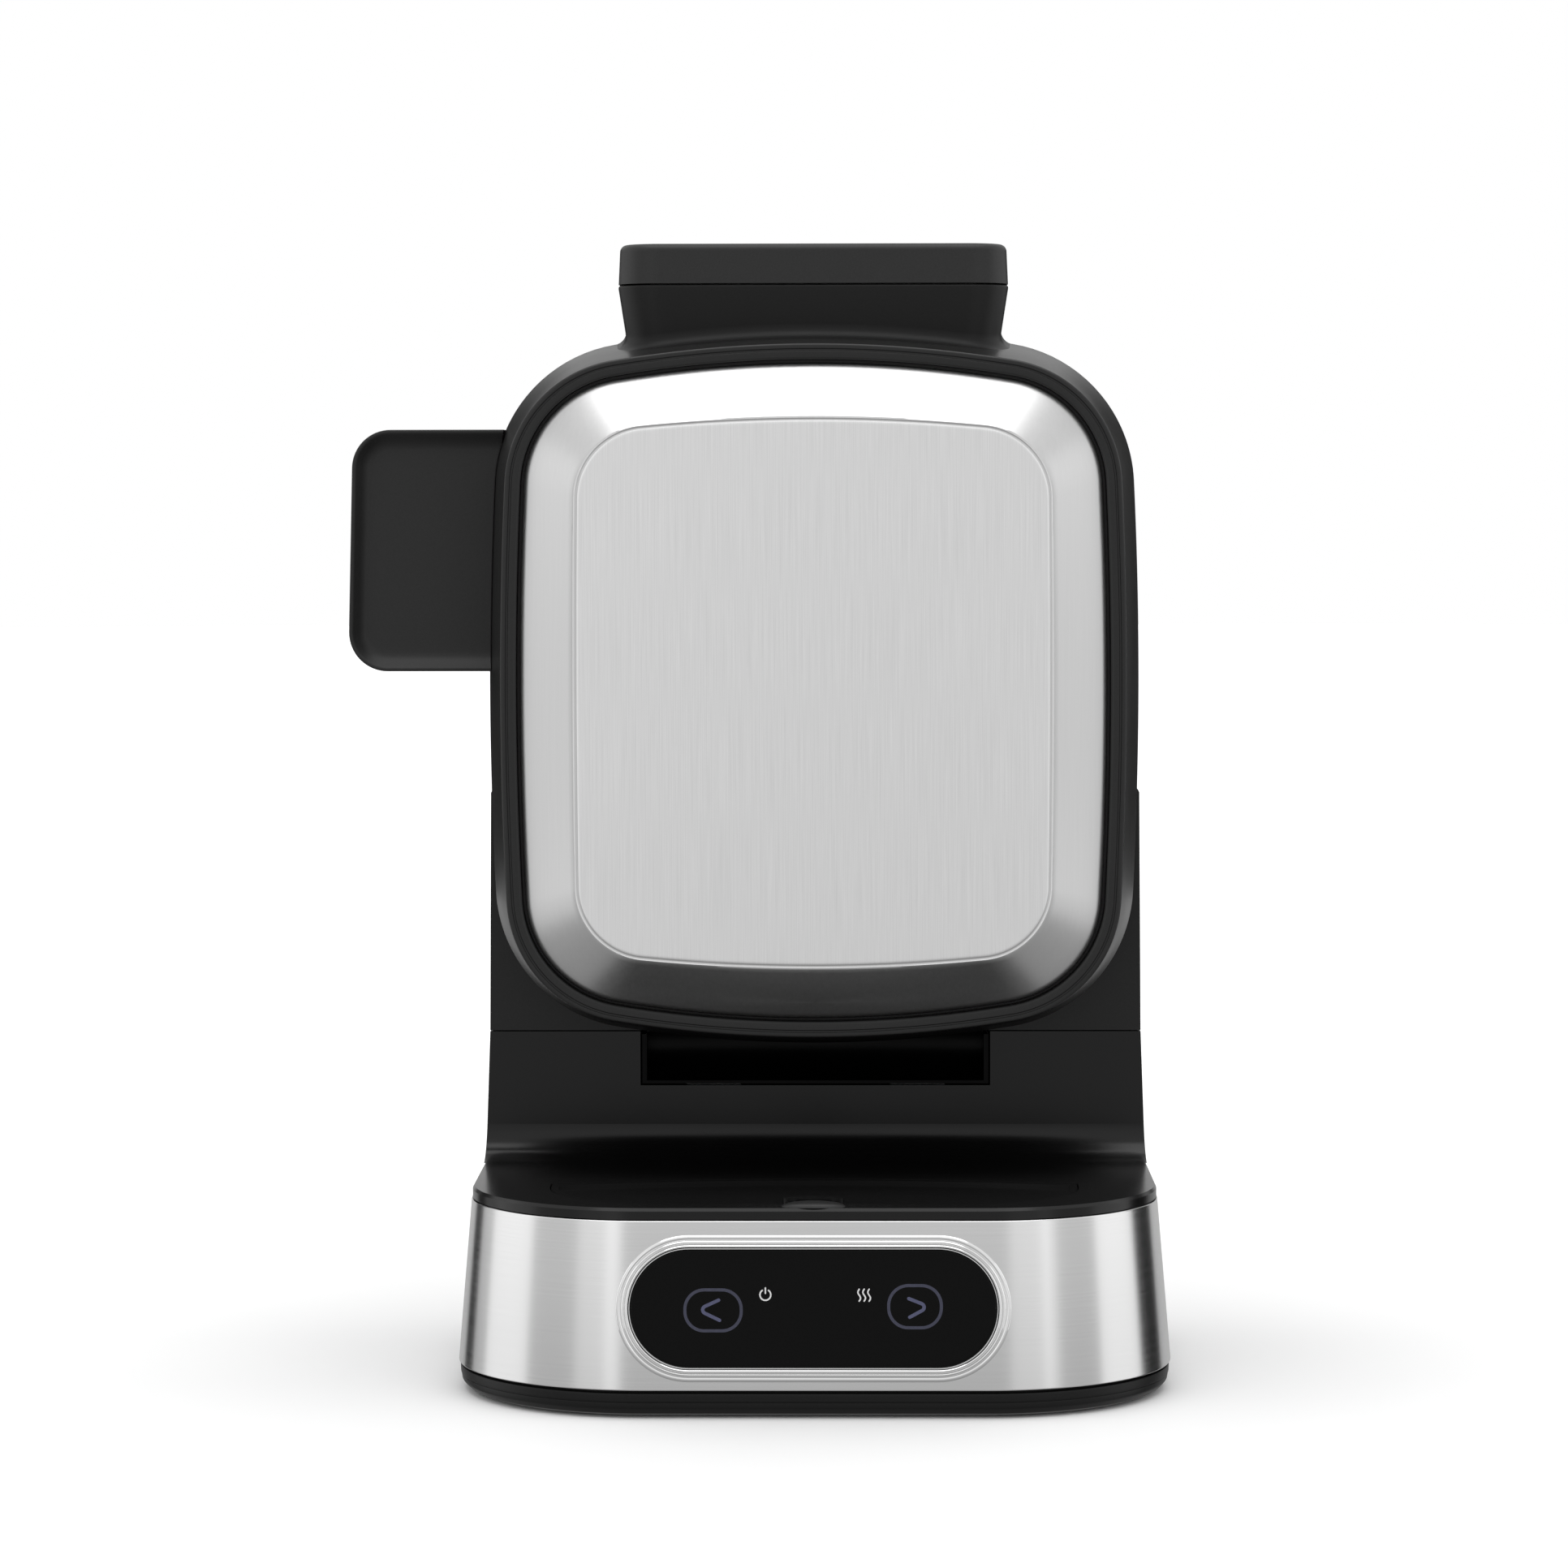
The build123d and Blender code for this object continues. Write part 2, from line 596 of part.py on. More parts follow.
def waffle_plate(front_y, floor_y, toward):
    """Plate with a flange, a grid of studs and half of the pouring channel; toward is the side it faces."""
    flange_back = front_y - toward * PLATE_FLANGE
    floor_back = floor_y - toward * PLATE_FLOOR
    middle = (FLANGE_LOW + FLANGE_HIGH) / 2
    pocket_middle = (POCKET_LOW + POCKET_HIGH) / 2
    with BuildSketch(depth(front_y, middle)) as flange:
        RectangleRounded(2 * FLANGE_HALF_W, FLANGE_HIGH - FLANGE_LOW, 22)
    extrude(flange.sketch, amount=toward * PLATE_FLANGE)
    with BuildSketch(depth(flange_back, pocket_middle)) as back:
        RectangleRounded(2 * POCKET_HALF_W + 6, POCKET_HIGH - POCKET_LOW + 6, 17)
    extrude(back.sketch, amount=toward * abs(floor_back - flange_back))
    box_at(
        (-CHANNEL_HALF_W - 3, min(front_y, front_y - toward * 10), POCKET_HIGH - 2),
        (CHANNEL_HALF_W + 3, max(front_y, front_y - toward * 10), FLANGE_HIGH),
    )
    with BuildSketch(depth(front_y, pocket_middle)) as pocket:
        RectangleRounded(2 * POCKET_HALF_W, POCKET_HIGH - POCKET_LOW, 14)
    extrude(pocket.sketch, amount=toward * abs(floor_y - front_y), mode=Mode.SUBTRACT)
    box_at(
        (-CHANNEL_HALF_W, min(front_y, front_y - toward * 6.5), POCKET_HIGH - 1),
        (CHANNEL_HALF_W, max(front_y, front_y - toward * 6.5), FLANGE_HIGH + 1),
        mode=Mode.SUBTRACT,
    )
    with BuildSketch(depth(floor_y, pocket_middle)) as studs:
        with GridLocations(
            2 * POCKET_HALF_W / STUD_COLUMNS, (POCKET_HIGH - POCKET_LOW) / STUD_ROWS, STUD_COLUMNS, STUD_ROWS
        ):
            RectangleRounded(STUD, STUD, 3)
    extrude(studs.sketch, amount=-toward * STUD_HEIGHT, taper=10)


# depth() sketches extrude towards the front, so the rear plate, which faces the front, grows backwards
FACE_SCREWS = [(x, z) for x in (-96.5, 96.5) for z in (172, 306)]
CATCHES = (198, 238)         # lower edges of the two magnetic catches

with BuildPart() as rear_plate:
    waffle_plate(PARTING_Y + FACE_GAP, REAR_FLOOR_Y, -1)
rear_plate.part.label = "rear_plate"
export_step(rear_plate.part, "parts/rear_plate.step")

with BuildPart() as door_plate:
    waffle_plate(PARTING_Y - FACE_GAP, DOOR_FLOOR_Y, 1)
door_plate.part.label = "door_plate"
export_step(door_plate.part, "parts/door_plate.step")

HEATER_R = 3.25


def heater(y):
    """Sheathed element bent into a loop behind the plate, with its two tails at the bottom."""
    middle = (POCKET_LOW + POCKET_HIGH) / 2
    half_w = 52.0
    half_h = 62.0
    with BuildLine(depth(y, middle)) as path:
        FilletPolyline(
            (-16, -half_h - 14),
            (-16, -half_h),
            (-half_w, -half_h),
            (-half_w, half_h),
            (half_w, half_h),
            (half_w, -half_h),
            (16, -half_h),
            (16, -half_h - 14),
            radius=(7, 16, 26, 26, 16, 7),
        )
    with BuildSketch(Plane(origin=path.line @ 0, z_dir=path.line % 0)) as section:
        Circle(HEATER_R)
    sweep(section.sketch, path=path.line)


with BuildPart() as rear_heater:
    heater(REAR_FLOOR_Y + PLATE_FLOOR + 0.1 + HEATER_R)
rear_heater.part.label = "rear_heater"
export_step(rear_heater.part, "parts/rear_heater.step")

with BuildPart() as door_heater:
    heater(DOOR_FLOOR_Y - PLATE_FLOOR - 0.1 - HEATER_R)
door_heater.part.label = "door_heater"
export_step(door_heater.part, "parts/door_heater.step")


def sheet(y, thick, half_w, half_h):
    """Flat rounded sheet behind a heater, thick towards the front."""
    with BuildSketch(depth(y, (POCKET_LOW + POCKET_HIGH) / 2)) as outline:
        RectangleRounded(2 * half_w, 2 * half_h, 14)
    extrude(outline.sketch, amount=thick)


with BuildPart() as rear_reflector:
    sheet(14.2, 0.8, 80, 84)
rear_reflector.part.label = "rear_reflector"
export_step(rear_reflector.part, "parts/rear_reflector.step")

with BuildPart() as rear_insulation:
    sheet(19.3, 5.0, 78, 82)
rear_insulation.part.label = "rear_insulation"
export_step(rear_insulation.part, "parts/rear_insulation.step")

with BuildPart() as thermostat:
    rod_y((0, 232), 8, 5.8, 12.5)
    box_at((-16, 5.8, 229), (16, 7.0, 235))
thermostat.part.label = "thermostat"
export_step(thermostat.part, "parts/thermostat.step")

with BuildPart() as door_reflector:
    sheet(-42.4, 0.8, 80, 84)
door_reflector.part.label = "door_reflector"
export_step(door_reflector.part, "parts/door_reflector.step")

with BuildPart() as door_insulation:
    sheet(-43.4, 6.0, 72, 78)
door_insulation.part.label = "door_insulation"
export_step(door_insulation.part, "parts/door_insulation.step")

with BuildPart() as thermal_fuse:
    rod_x((-36.5, 232), 2.6, -12, 12)
thermal_fuse.part.label = "thermal_fuse"
export_step(thermal_fuse.part, "parts/thermal_fuse.step")

# ------------------------------------------------------------ rear half of the head
REAR_FACE = PARTING_Y + FACE_GAP + 0.1
PLATE_OPENING = 0.6


def plate_opening(y, amount):
    """Cut the opening that a waffle plate's flange sits in."""
    height = FLANGE_HIGH - FLANGE_LOW + 2 * PLATE_OPENING
    with BuildSketch(depth(y, (FLANGE_LOW + FLANGE_HIGH) / 2)) as opening:
        RectangleRounded(2 * (FLANGE_HALF_W + PLATE_OPENING), height, 22.6)
    extrude(opening.sketch, amount=amount, mode=Mode.SUBTRACT)


def spout_half(front, rear):
    """The part of the spout's outer form between two depths."""
    spout_block(0)
    box_at((-70, front, 330), (70, rear, 380), mode=Mode.INTERSECT)


def funnel_half(front, rear):
    """The part of the funnel's wall inside the head, before its bore is cut."""
    funnel(2.5, top=355)
    box_at((-70, front, 330), (70, rear, 380), mode=Mode.INTERSECT)


with BuildPart() as rear_spout:
    spout_half(REAR_FACE, 40)

with BuildPart() as rear_funnel:
    funnel_half(REAR_FACE, 40)

with BuildPart() as rear_hollow:
    with BuildSketch(depth(HEAD_BACK_Y - WALL)):
        head_outline(FLARE + WALL)
    extrude(amount=HEAD_BACK_Y - WALL - (REAR_FACE + 2.6))
    fillet(rear_hollow.faces().sort_by(Axis.Y)[-1].edges(), 15)

with BuildPart() as rear_shell:
    with BuildSketch(depth(HEAD_BACK_Y)):
        head_outline(FLARE)
    extrude(amount=HEAD_BACK_Y - REAR_FACE)
    fillet(rear_shell.faces().sort_by(Axis.Y)[-1].edges(), 18)
    add(rear_spout.part)
    add(rear_hollow.part, mode=Mode.SUBTRACT)
    # open bay for the door hinge under the plate
    box_at((-120, -30, 100), (120, SWEEP_Y, HINGE_SHELF_Z), mode=Mode.SUBTRACT)
    # pouring funnel
    add(rear_funnel.part)
    funnel(0, top=SPOUT_Z + 0.1, mode=Mode.SUBTRACT)
    plate_opening(REAR_FACE + 3.5, 8)
    # ears of the lid hinge
    for x in (-34, 28):
        rod_x((LID_AXIS_Y, LID_AXIS_Z), 3.2, x, x + 6)
        box_at((x, SPOUT_REAR_Y - 1.4, 362), (x + 6, LID_AXIS_Y + 3.2, SPOUT_Z - 0.1))
        box_at((x, LID_AXIS_Y - 3.1, 362), (x + 6, LID_AXIS_Y + 3.2, LID_AXIS_Z))
    rod_x((LID_AXIS_Y, LID_AXIS_Z), 1.5 + 0.02, -36, 36, mode=Mode.SUBTRACT)
    # screw holes, screw bosses and strike plate seats
    for z in (HINGE_SCREW_Z, HEAD_SCREW_Z):
        for x in SPINE_SCREW_X:
            rod_y((x, z), 2.1, HEAD_BACK_Y - WALL - 1, HEAD_BACK_Y + 1, mode=Mode.SUBTRACT)
    for x, z in FACE_SCREWS:
        rod_y((x, z), 4.5, REAR_FACE, 12)
        rod_y((x, z), 1.5, REAR_FACE - 1, 10, mode=Mode.SUBTRACT)
        rod_y((x, z), 3.1, REAR_FACE - 1, REAR_FACE + 1.5, mode=Mode.SUBTRACT)
    for z in CATCHES:
        box_at((-101, REAR_FACE - 1, z), (-92, REAR_FACE + 1.2, z + 18), mode=Mode.SUBTRACT)
rear_shell.part.label = "rear_shell"
export_step(rear_shell.part, "parts/rear_shell.step")

# closes the hinge bay towards the heater: a shelf above it and an upright wall behind it
with BuildPart() as hinge_bay_wall:
    box_at((-110, REAR_FACE + 2.7, HINGE_SHELF_Z), (110, SWEEP_Y + 2.5, HINGE_SHELF_Z + 2.5))
    box_at((-110, SWEEP_Y, 112), (110, SWEEP_Y + 2.5, HINGE_SHELF_Z + 1))
    add(rear_hollow.part, mode=Mode.INTERSECT)
    for x in (-50, 43):
        box_at((x, SWEEP_Y - 1, 126.5), (x + 7, SWEEP_Y + 4, 134), mode=Mode.SUBTRACT)
hinge_bay_wall.part.label = "hinge_bay_wall"
export_step(hinge_bay_wall.part, "parts/hinge_bay_wall.step")

with BuildPart() as rear_face_screws:
    for x, z in FACE_SCREWS:
        rod_y((x, z), 2.9, REAR_FACE + 0.1, REAR_FACE + 1.4)
        rod_y((x, z), 1.45, REAR_FACE + 0.1, 9.5)
rear_face_screws.part.label = "rear_face_screws"
export_step(rear_face_screws.part, "parts/rear_face_screws.step")

with BuildPart() as strike_plates:
    for z in CATCHES:
        box_at((-100.8, REAR_FACE + 0.1, z + 0.2), (-92.2, REAR_FACE + 1.2, z + 17.8))
strike_plates.part.label = "strike_plates"
export_step(strike_plates.part, "parts/strike_plates.step")

with BuildPart() as lid_hinge_pin:
    rod_x((LID_AXIS_Y, LID_AXIS_Z), 1.5, -35, 35)
lid_hinge_pin.part.label = "lid_hinge_pin"
export_step(lid_hinge_pin.part, "parts/lid_hinge_pin.step")

ARM_SPOTS = (-49, 44)
with BuildPart() as hinge_bracket:
    for x in ARM_SPOTS:
        rod_x((AXIS_Y, AXIS_Z), 6.3, x, x + 5)
        box_at((x, AXIS_Y, 127.9), (x + 5, 21.2, 133.3))
    box_at((-49, 18.9, 128.2), (49, 21.2, 147))
    rod_x((AXIS_Y, AXIS_Z), PIN_R + 0.02, -60, 60, mode=Mode.SUBTRACT)
    for x in SPINE_SCREW_X:
        rod_y((x, HINGE_SCREW_Z), 2.1, 10, 30, mode=Mode.SUBTRACT)
hinge_bracket.part.label = "hinge_bracket"
export_step(hinge_bracket.part, "parts/hinge_bracket.step")

with BuildPart() as hinge_screws:
    for x in SPINE_SCREW_X:
        rod_y((x, HINGE_SCREW_Z), 3.4, 16.8, 18.9)
        rod_y((x, HINGE_SCREW_Z), 2.0, 16.8, 33.9)
hinge_screws.part.label = "hinge_screws"
export_step(hinge_screws.part, "parts/hinge_screws.step")

with BuildPart() as head_screws:
    for x in SPINE_SCREW_X:
        rod_y((x, HEAD_SCREW_Z), 3.4, 19.8, 21.9)
        rod_y((x, HEAD_SCREW_Z), 2.0, 19.8, 33.9)
head_screws.part.label = "head_screws"
export_step(head_screws.part, "parts/head_screws.step")

with BuildPart() as hinge_pin:
    rod_x((AXIS_Y, AXIS_Z), PIN_R, -51, 51)
hinge_pin.part.label = "hinge_pin"
export_step(hinge_pin.part, "parts/hinge_pin.step")

# ------------------------------------------------------------ door
DOOR_FACE = PARTING_Y - FACE_GAP

with BuildPart() as front_spout:
    spout_half(-80, DOOR_FACE)

with BuildPart() as front_funnel:
    funnel_half(-80, DOOR_FACE)

with BuildPart() as door_shell:
    head_loft([(DOOR_FACE, FLARE), (RIM_Y + 1.2, flare_at(RIM_Y + 1.2))])
    head_loft([(RIM_Y + 1.2, flare_at(RIM_Y + 1.2)), (RIM_Y + 0.35, 0.25), (RIM_Y, 1.1)])
    add(front_spout.part)
    head_loft([(DOOR_FACE + 1, FLARE + WALL), (RIM_Y + 2.6, flare_at(RIM_Y) + WALL)], mode=Mode.SUBTRACT)
    with BuildSketch(depth(RIM_Y + 4)):
        head_outline(RIM_OPENING)
    extrude(amount=6, mode=Mode.SUBTRACT)
    # seat that the steel face's flange stands on
    with BuildSketch(depth(STEEL_EDGE_Y + STEEL_FLANGE + 2.1)):
        head_outline(1.0)
        head_outline(9.0, mode=Mode.SUBTRACT)
    extrude(amount=2.0)
    add(front_funnel.part)
    funnel(0, top=SPOUT_Z + 0.1, mode=Mode.SUBTRACT)
    box_at((-120, -17.4, TONGUE_LOW - 0.5), (-95, DOOR_FACE + 1, TONGUE_HIGH + 0.5), mode=Mode.SUBTRACT)
    for x, z in FACE_SCREWS:
        rod_y((x, z), 4.5, -36, -17.2)
        box_at((min(x, x * 1.08), -36, z - 1.5), (max(x, x * 1.08), -17.2, z + 1.5))
        rod_y((x, z), 1.5, -34, -16, mode=Mode.SUBTRACT)
door_shell.part.label = "door_shell"
export_step(door_shell.part, "parts/door_shell.step")


def pressed_form(edge_y, edge_inset, back_y, top_y, top_inset, mode=Mode.ADD):
    """Form of the pressed face: a straight edge flange, a bevel and the raised centre."""
    with BuildSketch(depth(edge_y)) as edge:
        head_outline(edge_inset)
    extrude(edge.sketch, amount=edge_y - back_y, mode=mode)
    with BuildSketch(depth(top_y)) as top:
        plateau_outline(top_inset)
    loft(sections=[edge.sketch, top.sketch], mode=mode)


with BuildPart() as face_plate:
    pressed_form(STEEL_EDGE_Y, STEEL_INSET, STEEL_EDGE_Y + STEEL_FLANGE, PLATEAU_Y, 0)
    pressed_form(
        STEEL_EDGE_Y + 0.5, STEEL_INSET + 1, STEEL_EDGE_Y + 6, PLATEAU_Y + 1, 0.6, mode=Mode.SUBTRACT
    )
face_plate.part.label = "face_plate"
export_step(face_plate.part, "parts/face_plate.step")

with BuildPart() as door_inner_frame:
    with BuildSketch(depth(DOOR_FACE - 0.2)):
        head_outline(FLARE + WALL + 0.9)
    extrude(amount=2.4)
    plate_opening(DOOR_FACE + 2, 8)
    box_at((-53, -24, 100), (53, -10, HINGE_SHELF_Z), mode=Mode.SUBTRACT)
    funnel(2.8, top=360, mode=Mode.SUBTRACT)
    box_at((-120, -20, TONGUE_LOW - 0.3), (-89.5, -10, TONGUE_HIGH + 0.3), mode=Mode.SUBTRACT)
    for x in (-42, 36):
        rod_x((AXIS_Y, AXIS_Z), 6.0, x, x + 6)
        box_at((x, -19.5, AXIS_Z), (x + 6, -14.5, FLANGE_LOW - 0.8))
    rod_x((AXIS_Y, AXIS_Z), 4.22, -60, 60, mode=Mode.SUBTRACT)
    for x, z in FACE_SCREWS:
        rod_y((x, z), 1.6, -30, -10, mode=Mode.SUBTRACT)
    for z in CATCHES:
        box_at((-101, -20, z), (-92, -10, z + 18), mode=Mode.SUBTRACT)
door_inner_frame.part.label = "door_inner_frame"
export_step(door_inner_frame.part, "parts/door_inner_frame.step")

with BuildPart() as hinge_bushes:
    for x in (-42, 36):
        rod_x((AXIS_Y, AXIS_Z), 4.2, x, x + 6)
    rod_x((AXIS_Y, AXIS_Z), PIN_R + RUNNING, -60, 60, mode=Mode.SUBTRACT)
hinge_bushes.part.label = "hinge_bushes"
export_step(hinge_bushes.part, "parts/hinge_bushes.step")

with BuildPart() as door_frame_screws:
    for x, z in FACE_SCREWS:
        rod_y((x, z), 1.45, -33, DOOR_FACE - 0.2)
door_frame_screws.part.label = "door_frame_screws"
export_step(door_frame_screws.part, "parts/door_frame_screws.step")

with BuildPart() as catch_magnets:
    for z in CATCHES:
        box_at((-100.8, -19.5, z + 0.2), (-92.2, DOOR_FACE - 0.2, z + 17.8))
catch_magnets.part.label = "catch_magnets"
export_step(catch_magnets.part, "parts/catch_magnets.step")


# ------------------------------------------------------------ paddle handle
def handle_outline(inset):
    """Front view of the paddle: its tip leans, its inner end runs on past the wall of the door."""
    low = HANDLE_LOW + inset
    high = HANDLE_HIGH - inset
    corner = HANDLE_CORNER - inset
    with BuildLine() as outline:
        FilletPolyline(
            (-90, low),
            (HANDLE_TIP_X + inset, low),
            (HANDLE_TIP_X + 2 + inset, high),
            (-90, high),
            radius=(corner, corner),
        )
        Line((-90, high), (-90, low))
    make_face(outline.line)


def handle_slab(front, rear, inset=0.0, mode=Mode.ADD):
    """Paddle outline extruded between two depths."""
    with BuildSketch(depth(rear, 0)) as outline:
        handle_outline(inset)
    extrude(outline.sketch, amount=rear - front, mode=mode)


# the head with a small gap all round, which trims the paddle's inner end
with BuildPart() as head_form:
    head_loft([(PARTING_Y, FLARE - 0.6), (RIM_Y, -0.6)])
    with BuildSketch(depth(40)):
        head_outline(FLARE - 0.6)
    extrude(amount=40 - PARTING_Y)

HANDLE_SCREWS = [(-118, 270), (-118, 290), (-144, 280)]

with BuildPart() as handle_front:
    handle_slab(HANDLE_FRONT_Y, HANDLE_JOINT_Y)
    with BuildSketch(depth(HANDLE_FRONT_Y + DISH_DEPTH, 0)) as dish_floor:
        handle_outline(DISH_BORDER)
    with BuildSketch(depth(HANDLE_FRONT_Y - 0.01, 0)) as dish_edge:
        handle_outline(DISH_EDGE)
    loft(sections=[dish_floor.sketch, dish_edge.sketch], mode=Mode.SUBTRACT)
    add(head_form.part, mode=Mode.SUBTRACT)
    box_at((-151, -17.0, TONGUE_LOW - 0.2), (-90, -10, TONGUE_HIGH + 0.2), mode=Mode.SUBTRACT)
handle_front.part.label = "handle_front"
export_step(handle_front.part, "parts/handle_front.step")

with BuildPart() as handle_rear:
    handle_slab(HANDLE_JOINT_Y + 0.1, HANDLE_BACK_Y)
    fillet(handle_rear.faces().sort_by(Axis.Y)[-1].edges().filter_by(lambda e: e.center().X < -95), 5)
    add(head_form.part, mode=Mode.SUBTRACT)
    for x, z in HANDLE_SCREWS:
        rod_y((x, z), 1.6, -20, 20, mode=Mode.SUBTRACT)
        rod_y((x, z), 3.2, 2.5, 20, mode=Mode.SUBTRACT)
handle_rear.part.label = "handle_rear"
export_step(handle_rear.part, "parts/handle_rear.step")

with BuildPart() as handle_bracket:
    box_at((-150, -16.8, TONGUE_LOW), (-90, -14.6, TONGUE_HIGH))
    for x, z in HANDLE_SCREWS:
        rod_y((x, z), 1.5, -20, 20, mode=Mode.SUBTRACT)
handle_bracket.part.label = "handle_bracket"
export_step(handle_bracket.part, "parts/handle_bracket.step")

with BuildPart() as handle_screws:
    for x, z in HANDLE_SCREWS:
        rod_y((x, z), 1.45, -16.7, 4.4)
        rod_y((x, z), 3.0, 2.6, 4.4)
handle_screws.part.label = "handle_screws"
export_step(handle_screws.part, "parts/handle_screws.step")

# ------------------------------------------------------------ lid
with BuildPart() as lid_shell:
    with BuildSketch(level(LID_Z)):
        with Locations((0, PARTING_Y)):
            RectangleRounded(2 * (SPOUT_HALF_W - 0.2), 2 * SPOUT_HALF_D, SPOUT_CORNER)
    with BuildSketch(level(LID_TOP)):
        with Locations((0, PARTING_Y)):
            RectangleRounded(2 * (SPOUT_HALF_W - 0.8), 2 * (SPOUT_HALF_D - 0.6), SPOUT_CORNER - 0.6)
    loft()
    fillet(lid_shell.faces().sort_by(Axis.Z)[-1].edges(), 2.4)
    with BuildSketch(level(LID_Z)):
        with Locations((0, PARTING_Y)):
            RectangleRounded(2 * (SPOUT_HALF_W - 3.2), 2 * (SPOUT_HALF_D - 3), SPOUT_CORNER - 3)
    extrude(amount=LID_TOP - LID_Z - 2.5, mode=Mode.SUBTRACT)
    rod_x((LID_AXIS_Y, LID_AXIS_Z), 3.0, -27.5, 27.5)
    box_at((-27.5, SPOUT_REAR_Y - 1, LID_AXIS_Z - 0.8), (27.5, LID_AXIS_Y, LID_AXIS_Z + 3))
    rod_x((LID_AXIS_Y, LID_AXIS_Z), 1.5 + RUNNING, -40, 40, mode=Mode.SUBTRACT)
lid_shell.part.label = "lid_shell"
export_step(lid_shell.part, "parts/lid_shell.step")

with BuildPart() as lid_liner:
    with BuildSketch(level(LINER_LOW)):
        with Locations((0, PARTING_Y)):
            RectangleRounded(2 * LINER_HALF_W, 2 * LINER_HALF_D, 9)
            RectangleRounded(2 * LINER_HALF_W - 5, 2 * LINER_HALF_D - 5, 6.5, mode=Mode.SUBTRACT)
    extrude(amount=LID_TOP - 2.6 - LINER_LOW)
lid_liner.part.label = "lid_liner"
export_step(lid_liner.part, "parts/lid_liner.step")
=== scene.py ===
import json
import math

import bmesh
import bpy
from mathutils import Matrix, Vector


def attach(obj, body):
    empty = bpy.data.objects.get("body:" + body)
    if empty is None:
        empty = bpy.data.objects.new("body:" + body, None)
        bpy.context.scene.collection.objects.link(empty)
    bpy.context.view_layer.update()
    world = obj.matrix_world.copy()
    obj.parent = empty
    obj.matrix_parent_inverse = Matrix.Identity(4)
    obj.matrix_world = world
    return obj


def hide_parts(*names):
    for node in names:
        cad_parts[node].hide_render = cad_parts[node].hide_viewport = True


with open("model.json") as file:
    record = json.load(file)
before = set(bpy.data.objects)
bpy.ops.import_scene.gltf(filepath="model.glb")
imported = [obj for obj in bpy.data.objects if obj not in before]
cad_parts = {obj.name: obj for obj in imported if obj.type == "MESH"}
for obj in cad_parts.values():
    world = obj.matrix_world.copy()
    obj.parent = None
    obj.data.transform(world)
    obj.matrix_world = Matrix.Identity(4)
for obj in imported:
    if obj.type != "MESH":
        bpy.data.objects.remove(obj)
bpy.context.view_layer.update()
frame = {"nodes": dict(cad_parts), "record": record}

MM = 0.001
SCENE = bpy.context.scene
NODES = frame["nodes"]

# ------------------------------------------------------------ driving dimensions (mm), as in the frame
BASE_HALF_W, BASE_HALF_D = 119.2, 100.0
FRONT_CORNER, REAR_CORNER = 64.0, 50.0
BAND_Z, BAND_TOP, BAND_INSET = 9.3, 64.0, 4.6
DECK_Z = 68.0

HEAD_Z = 233.4
HEAD_HALF_W, HEAD_HALF_H = 103.0, 114.2
TOP_ARC, SIDE_ARC, CORNER_ARC = 400.0, 1400.0, 42.5
RIM_Y, PARTING_Y = -57.0, -14.0
FACE_GAP = 0.3
FLARE = -6.4
WALL = 3.0
RIM_OPENING = 5.2
STEEL_INSET, STEEL_EDGE_Y, PLATEAU_Y = 6.2, -55.5, -70.0
STEEL_FLANGE = 5.0
SEAT_Y, SEAT_INSET = -50.4, 9.0

SPOUT_Z, SPOUT_FOOT_Z = 367.5, 345.0
SPOUT_HALF_W, SPOUT_HALF_D, SPOUT_CORNER = 65.0, 28.0, 14.0
FUNNEL_FOOT, FUNNEL_HALF_W, FUNNEL_HALF_D = 336.2, 60.0, 23.5
CHANNEL_HALF_W, CHANNEL_DEPTH = 25.0, 6.6

HANDLE_LOW, HANDLE_HIGH = 239.0, 320.0
HANDLE_TIP_X, HANDLE_LEAN, HANDLE_CORNER = -156.5, 2.0, 13.0
HANDLE_FRONT_Y, HANDLE_JOINT_Y, HANDLE_BACK_Y = -22.0, -13.0, 6.0

PANEL_Z = 35.8
LENS_W, LENS_H = 119.0, 38.4
PANEL_TILT = math.atan2(BAND_INSET, BAND_TOP - BAND_Z)
PANEL_Y = -BASE_HALF_D + (PANEL_Z - BAND_Z) * math.tan(PANEL_TILT)


# ------------------------------------------------------------ outlines
def arc_points(centre, radius, start, end, count):
    """Points along an arc, its end left out; angles in radians."""
    angles = [start + (end - start) * i / count for i in range(count)]
    return [(centre[0] + radius * math.cos(a), centre[1] + radius * math.sin(a)) for a in angles]


